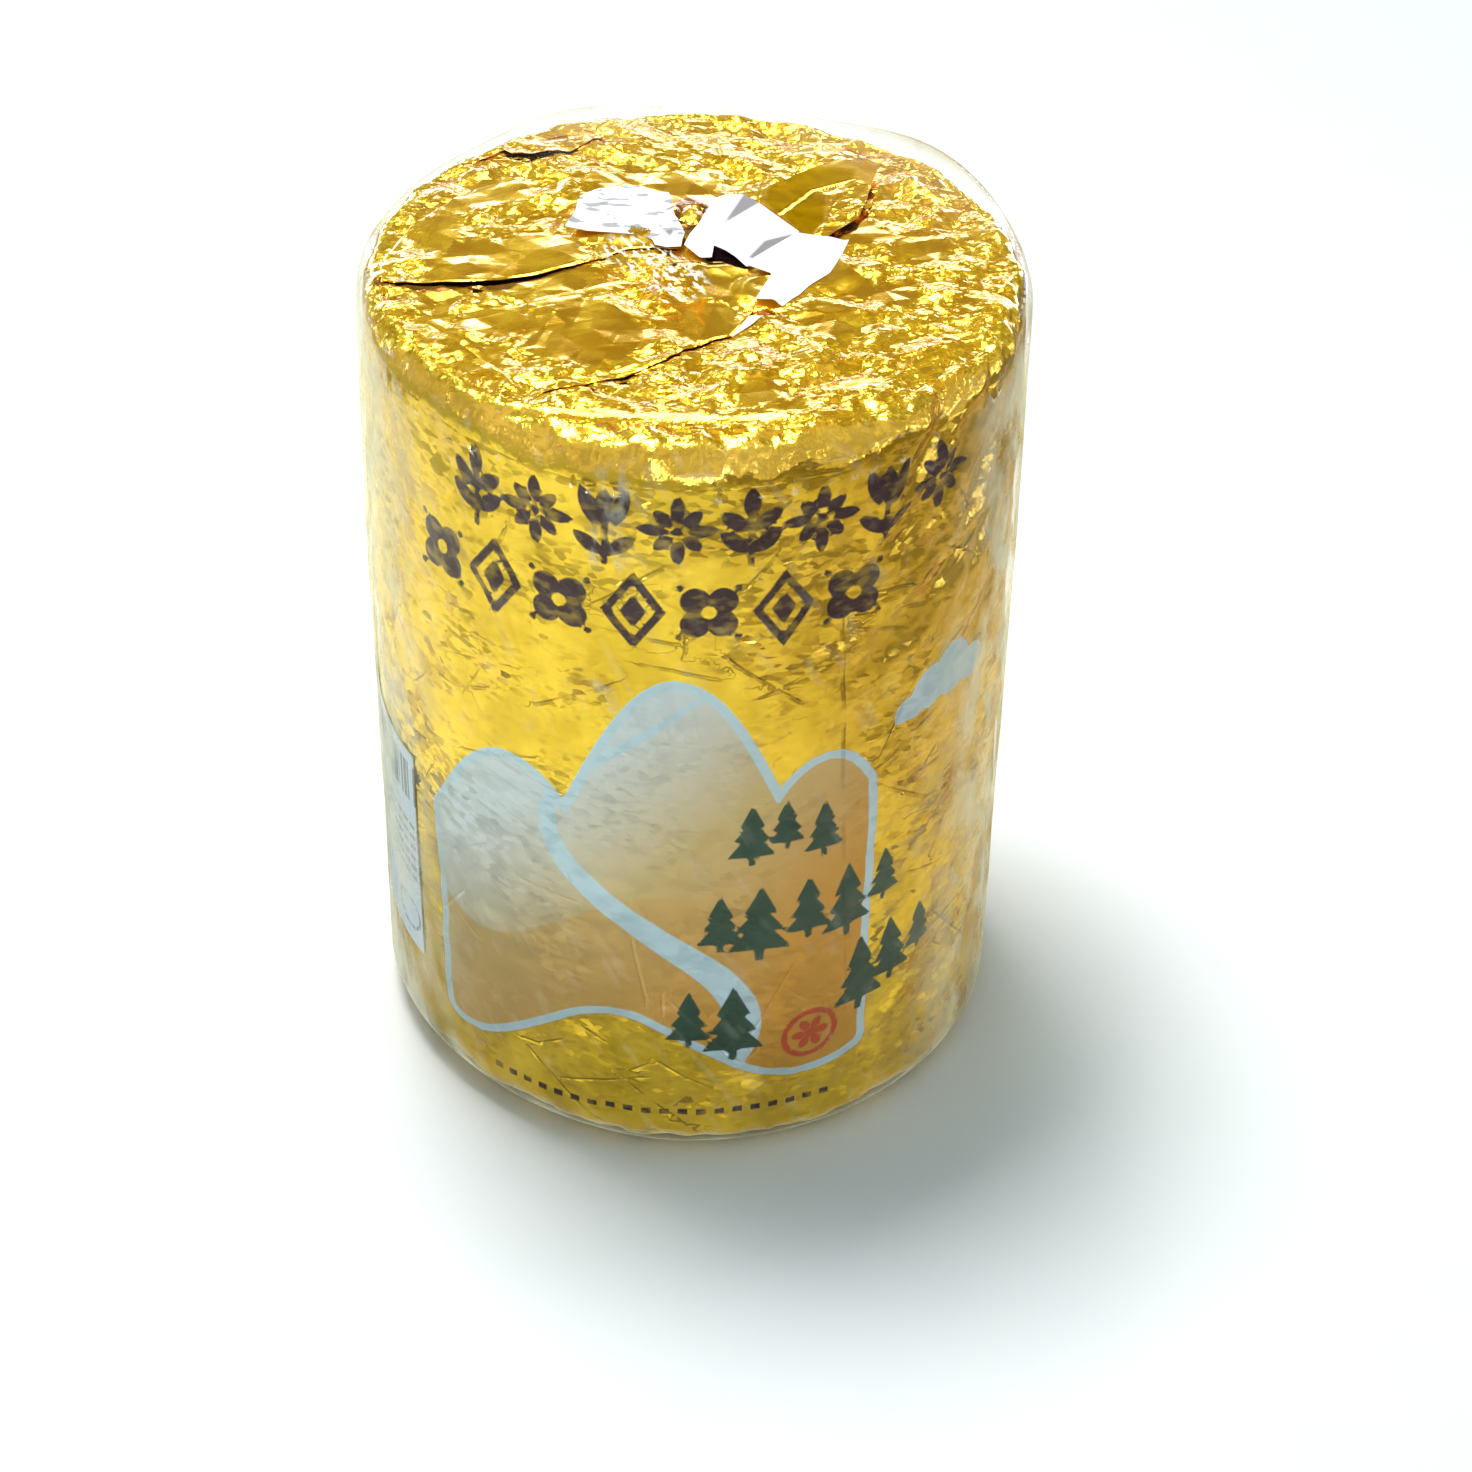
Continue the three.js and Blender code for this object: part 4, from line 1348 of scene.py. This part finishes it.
def film_shader(nodes, veil, haze_colour, mirror_ahead, mirror_across):
    """Clear film: see-through but for its veil, and glossy, the more so at a glancing angle."""
    waves = nodes.noise(nodes.place(), 260.0, 1.0)
    fine = nodes.add("Bump", {"Strength": 0.35, "Distance": 0.0004, "Height": waves}).outputs[0]
    haze = nodes.add("BsdfDiffuse", {"Color": haze_colour}).outputs[0]
    gloss = nodes.add("BsdfGlossy", {"Color": FILM_GLOSS, "Roughness": 0.07, "Normal": fine}).outputs[0]
    facing = nodes.add("LayerWeight", {"Blend": 0.5, "Normal": fine}).outputs["Facing"]
    mirror = nodes.ramp(nodes.math("POWER", facing, 4.0), 0.0, 1.0, mirror_ahead, mirror_across)
    return nodes.blend(mirror, nodes.blend(veil, see_through(nodes), haze), gloss)


def edge_veil(nodes, most):
    """The haze of the film where it is seen at a glancing angle."""
    facing = nodes.add("LayerWeight", {"Blend": 0.5}).outputs["Facing"]
    blotches = nodes.noise(nodes.place((1.0, 1.0, 0.45), (0.0, math.radians(30), 0.0)), 95.0, 2.0)
    blotches = nodes.ramp(blotches, 0.42, 0.6, 0.1, 1.7)
    return nodes.product(nodes.ramp(facing, 0.5, 0.97, 0.0, most), blotches)


def side_film(nodes):
    """The film on the side, with faint slanting streaks and patches of painted glare. It is hazier and
    warmer on the right, and dull where it stands off in wings, where its haze is brown with painted shade."""
    right = nodes.ramp(nodes.axes(nodes.place())[0], 0.03, 0.058)
    edge = nodes.product(edge_veil(nodes, 0.56), nodes.ramp(right, 0.0, 1.0, 1.0, 1.45))
    streak_place = nodes.place((1.0, 1.0, 0.22), (0.0, math.radians(30), 0.0))
    streaks = nodes.ramp(nodes.noise(streak_place, 330.0, 1.0), 0.6, 0.72, 0.0, 0.08)
    scuff_and_glare_noise = nodes.noise(nodes.place((1.0, 1.0, 0.4), (0.0, math.radians(12), 0.0)), 380.0, 2.0)
    # Painted glare: a white veil in patches
    scuffs_and_glare = nodes.product(nodes.ramp(scuff_and_glare_noise, 0.48, 0.62, 0.0, 0.32), nodes.attribute("scuff_and_glare"))
    wing = nodes.attribute("wing")
    veil = nodes.total(edge, streaks, scuffs_and_glare, nodes.product(wing, 0.35))
    # Painted shade: a brown haze where the film stands off in wings
    haze = nodes.mix(wing, nodes.mix(right, FILM_HAZE, FILM_RIGHT_HAZE), FILM_WING_SHADE_HAZE)
    return film_shader(nodes, veil, haze, 0.015, 0.5)


def top_film(nodes):
    """The film on the top, with scuffed patches and painted glare, and dull where it stands off in wings,
    where its haze is brown with painted shade.
    """
    scuff_and_glare_noise = nodes.noise(nodes.place((0.62, 1.5, 1.0), (0.0, 0.0, math.radians(62))), 560.0, 2.0)
    # Scuffed patches with painted glare: a white veil
    scuffs_and_glare = nodes.product(nodes.ramp(scuff_and_glare_noise, 0.52, 0.6), nodes.attribute("scuff_and_glare"), 0.8)
    wing = nodes.attribute("wing")
    veil = nodes.total(nodes.largest(edge_veil(nodes, 0.06), scuffs_and_glare), nodes.product(wing, 0.5))
    # Painted shade: a brown haze where the film stands off in wings
    return film_shader(nodes, veil, nodes.mix(wing, FILM_HAZE, FILM_WING_SHADE_HAZE), 0.001, 0.025)


def make_film():
    """The film, a closed shell round the side and the top, open underneath."""
    random = np.random.default_rng(9)
    stations = [(0.55 + step * 0.15, FILM_COLUMNS, 0.05) for step in range(3)]
    stations += [(1 + row / FILM_ROWS, FILM_COLUMNS, 1 / FILM_ROWS) for row in range(FILM_ROWS)]
    stations += [(2 + row / FILM_RIM_ROWS, FILM_COLUMNS, 0.1) for row in range(FILM_RIM_ROWS)]
    stations += top_stations(FILM_COLUMNS, FILM_TOP_SPACING, 0.97)
    angle, station, rings, triangles = ring_grid(stations, random, 0.15)
    smooth_points = outline_points(angle, station, 0.0)
    wrinkle = 0.45 + 0.3 * facets(warped(smooth_points, 3, 14), 16, 41)
    wrinkle += 0.16 * facets(warped(smooth_points, 2, 9), 7, 42) + 0.1 * facets(smooth_points, 3.6, 43)
    layers = []
    for raised in (FILM_THICKNESS, 0.0):
        gap = film_gap(angle, station) + np.clip(wrinkle, 0, 1) * 0.45 + raised
        pole = [PIT_X, PIT_Y, DRUM_HEIGHT + FILM_CENTRE_GAP + raised]
        layers.append(np.concatenate([outline_points(angle, station, gap), [pole]]))
    points = np.concatenate(layers)
    count = len(layers[0])
    triangles.append(close_ring(rings[-1], count - 1))
    face = np.concatenate(triangles)
    foot = rings[0]
    after = np.roll(foot, -1)
    lip = [np.stack([foot + count, after + count, after], 1), np.stack([foot + count, after, foot], 1)]
    film = mesh_object("film_sheet", points, np.concatenate([face, face[:, ::-1] + count, *lip]), True)
    x, y, z = points.T
    arc = np.tile(arc_of(np.append(angle, 0)), 2)
    # Scuffed patches with painted glare on the top, and painted glare on the side
    top_scuffs_and_glare = patches(x, y, SCUFF_AND_GLARE_PATCHES) * (z > DRUM_HEIGHT)
    side_glare = patches(arc, z, SIDE_GLARE_PATCHES) * (np.hypot(x, y) > DRUM_RADIUS - 3)
    add_attribute(film, "scuff_and_glare", np.maximum(top_scuffs_and_glare, side_glare))
    full_wing = max(reach for centre, spread, reach in FILM_WINGS)
    add_attribute(film, "wing", np.tile(np.append(film_wing(angle, station), 0) / full_wing, 2))
    dress(film, finished_material("clear_film_side", side_film), "clear_film", "film_overwrap")
    film.data.materials.append(finished_material("clear_film_top", top_film))
    film.data.materials.append(finished_material("clear_film_inside", see_through))
    on_top = np.append(station, POLE_STATION)[face].mean(axis=1) > FILM_TOP_STATION
    inner = np.full(len(face) + 2 * len(foot), 2)
    picks = np.concatenate([on_top.astype(np.int32), inner.astype(np.int32)])
    film.data.polygons.foreach_set("material_index", picks)


def make_camera():
    """The photo's camera, rolled about its line of sight, pitched down and turned to the right."""
    data = bpy.data.cameras.new("photo_camera")
    data.sensor_width = 36
    data.lens = CAMERA_LENS
    camera = linked_object("photo_camera", data)
    camera.matrix_world = (
        Matrix.Translation(CAMERA_PLACE)
        @ Matrix.Rotation(-CAMERA_YAW, 4, "Z")
        @ Matrix.Rotation(math.pi / 2 - CAMERA_PITCH, 4, "X")
        @ Matrix.Rotation(CAMERA_ROLL, 4, "Z")
    )
    bpy.context.scene.camera = camera


def add_softbox(name, azimuth, elevation, distance, size, brightness, tint):
    """A lit square that faces the cheese. The azimuth turns from the back (+Y) to the right (+X)."""
    turn, rise = math.radians(azimuth), math.radians(elevation)
    level = distance * math.cos(rise)
    place = Vector((level * math.sin(turn), level * math.cos(turn), distance * math.sin(rise)))
    data = bpy.data.lights.new(name, "AREA")
    data.shape = "SQUARE"
    data.size = size
    data.energy = brightness * math.pi * size**2
    data.color = tint
    light = linked_object(name, data)
    light.location = place
    light.rotation_euler = (-place).to_track_quat("-Z", "Y").to_euler()


def make_world():
    """Even pale light from all round, a little brighter overhead."""
    world = bpy.data.worlds.new("studio")
    world.use_nodes = True
    nodes = Nodes(world.node_tree)
    height = nodes.axes(nodes.add("TexCoord").outputs["Generated"])[2]
    inputs = {"Color": (0.74, 1.0, 1.08, 1.0), "Strength": nodes.ramp(height, 0.0, 0.6, 0.32, 0.46)}
    output = nodes.add("OutputWorld")
    nodes.feed(output.inputs["Surface"], nodes.add("Background", inputs).outputs[0])
    bpy.context.scene.world = world


def room_walls(nodes):
    """Warm dim and cool bright areas, as the windows and the furniture of a room look in foil."""
    direction = nodes.vector("NORMALIZE", nodes.place())
    _, back, up = nodes.axes(direction)
    pattern = nodes.total(
        nodes.product(nodes.noise(direction, 3.4, 1.0), 0.65),
        nodes.product(nodes.noise(direction, 10.0, 1.0), 0.35),
        nodes.product(nodes.ramp(back, 0.7, 0.8), nodes.ramp(up, 0.46, 0.38), 0.1),
    )
    strength = nodes.total(
        nodes.ramp(pattern, 0.42, 0.55, 0.43, 0.8),
        nodes.ramp(pattern, 0.565, 0.61, 0.0, 1.0),
        nodes.ramp(pattern, 0.61, 0.64, 0.0, 4.0),
    )
    near_calm = nodes.ramp(nodes.distance(direction, CALM_DIRECTION), 0.09, 0.2, 0.75, 9.0)
    near_bright = nodes.ramp(nodes.distance(direction, BRIGHT_DIRECTION), 0.07, 0.13, 7.0, 0.0)
    strength = nodes.total(nodes.math("MINIMUM", strength, near_calm), near_bright)
    lamps = nodes.product(nodes.ramp(pattern, 0.6, 0.62, 0.0, 3.0), nodes.ramp(up, 0.6, 0.5))
    front_strength = nodes.total(nodes.ramp(pattern, 0.42, 0.58, 0.62, 1.0), lamps)
    front = nodes.ramp(back, 0.46, 0.28)
    strength = nodes.total(
        nodes.product(strength, nodes.math("SUBTRACT", 1.0, front)),
        nodes.product(front_strength, front),
    )
    tint = nodes.mix(nodes.ramp(strength, 0.3, 0.9), (1.0, 0.81, 0.48, 1.0), (0.9, 0.98, 0.5, 1.0))
    tint = nodes.mix(front, tint, (1.0, 0.93, 1.2, 1.0))
    tint = nodes.mix(nodes.ramp(strength, 0.9, 4.0), tint, (1.0, 1.04, 2.5, 1.0))
    return nodes.add("Emission", {"Color": tint, "Strength": strength}).outputs[0]


def floor_white(nodes):
    return nodes.add("BsdfPrincipled", {"Base Color": (0.82, 0.83, 0.84, 1.0), "Roughness": 0.7}).outputs[0]


def lit_ground(nodes):
    """The floor as the foil shows it: bright and patchy, with the cheese's painted shadow, dimmer at its
    foot and to the right, dimmer too beyond its lit part, and blotchy far on the right."""
    place = nodes.place()
    away = nodes.distance(place, LIT_GROUND_MIDDLE)
    across = nodes.axes(place)[0]
    blotches = nodes.ramp(nodes.noise(place, 36.0, 2.0), 0.44, 0.56, 0.36, -0.04)
    dimming = nodes.product(nodes.ramp(across, 0.13, 0.2), blotches)
    strength = nodes.product(
        nodes.ramp(away, 0.27, 0.48, 1.18, 0.52),
        nodes.ramp(across, -0.15, 0.24, 1.22, 0.68),
        nodes.ramp(nodes.noise(place, 55.0, 2.0), 0.36, 0.62, 0.68, 1.14),
        nodes.ramp(away, 0.085, 0.15, 0.4, 1.0),
        nodes.math("SUBTRACT", 1.0, dimming),
    )
    tint = nodes.mix(nodes.ramp(across, 0.0, 0.22), (0.97, 1.0, 0.92, 1.0), (1.0, 0.86, 0.7, 1.0))
    return nodes.add("Emission", {"Color": tint, "Strength": strength}).outputs[0]


def make_stage_piece(name, corners, faces, material):
    mesh = bpy.data.meshes.new(name)
    mesh.from_pydata(corners, [], faces)
    mesh.materials.append(material)
    piece = linked_object(name, mesh)
    return piece


def make_ground(name, height, build):
    """A wide square at a height."""
    far = GROUND_REACH
    corners = [(-far, -far, height), (far, -far, height), (far, far, height), (-far, far, height)]
    return make_stage_piece(name, corners, [(0, 1, 2, 3)], finished_material(name, build))


def show_in_foil_only(piece):
    """Leaves a piece of the stage out of everything but reflections."""
    piece.visible_camera = False
    piece.visible_diffuse = False
    piece.visible_shadow = False
    piece.data.materials[0].cycles.emission_sampling = "NONE"


def make_room():
    """A dome round the cheese."""
    around, up = 32, 8
    corners = []
    for ring in range(up):
        rise = math.pi / 2 * ring / up
        level, height = ROOM_RADIUS * math.cos(rise), ROOM_RADIUS * math.sin(rise)
        turns = [2 * math.pi * step / around for step in range(around)]
        corners += [(level * math.cos(turn), level * math.sin(turn), height) for turn in turns]
    corners.append((0, 0, ROOM_RADIUS))
    faces = []
    for step in range(around):
        after = (step + 1) % around
        for low in range(0, (up - 1) * around, around):
            high = low + around
            faces.append((low + step, low + after, high + after, high + step))
        faces.append((high + step, high + after, up * around))
    return make_stage_piece("room", corners, faces, finished_material("room_walls", room_walls))


make_camera()
for make, name, build in (
    (make_foil_side, "gold_foil_printed", printed_gold),
    (make_foil_top, "gold_foil_top", gold_with_hole),
):
    dress(make(), finished_material(name, build), "gold_foil", "foil_wrapped_cheese")
leaf_gold = finished_material("gold_foil_plain", plain_gold)
for leaf in GOLD_LEAVES:
    make_leaf(leaf, leaf_gold, "gold_foil")
leaf_silver = finished_material("silver_foil", bare_silver)
for leaf in SILVER_LEAVES:
    make_leaf(leaf, leaf_silver, "silver_foil")
make_label()
make_film()
make_world()
make_ground("floor", 0.0, floor_white)
show_in_foil_only(make_ground("lit_ground", LIT_GROUND_HEIGHT, lit_ground))
show_in_foil_only(make_room())
add_softbox(
    "window", azimuth=-38, elevation=75.5, distance=1.6, size=0.5, brightness=32.5, tint=(1.0, 0.99, 0.96)
)
bpy.context.scene.view_settings.view_transform = "Standard"
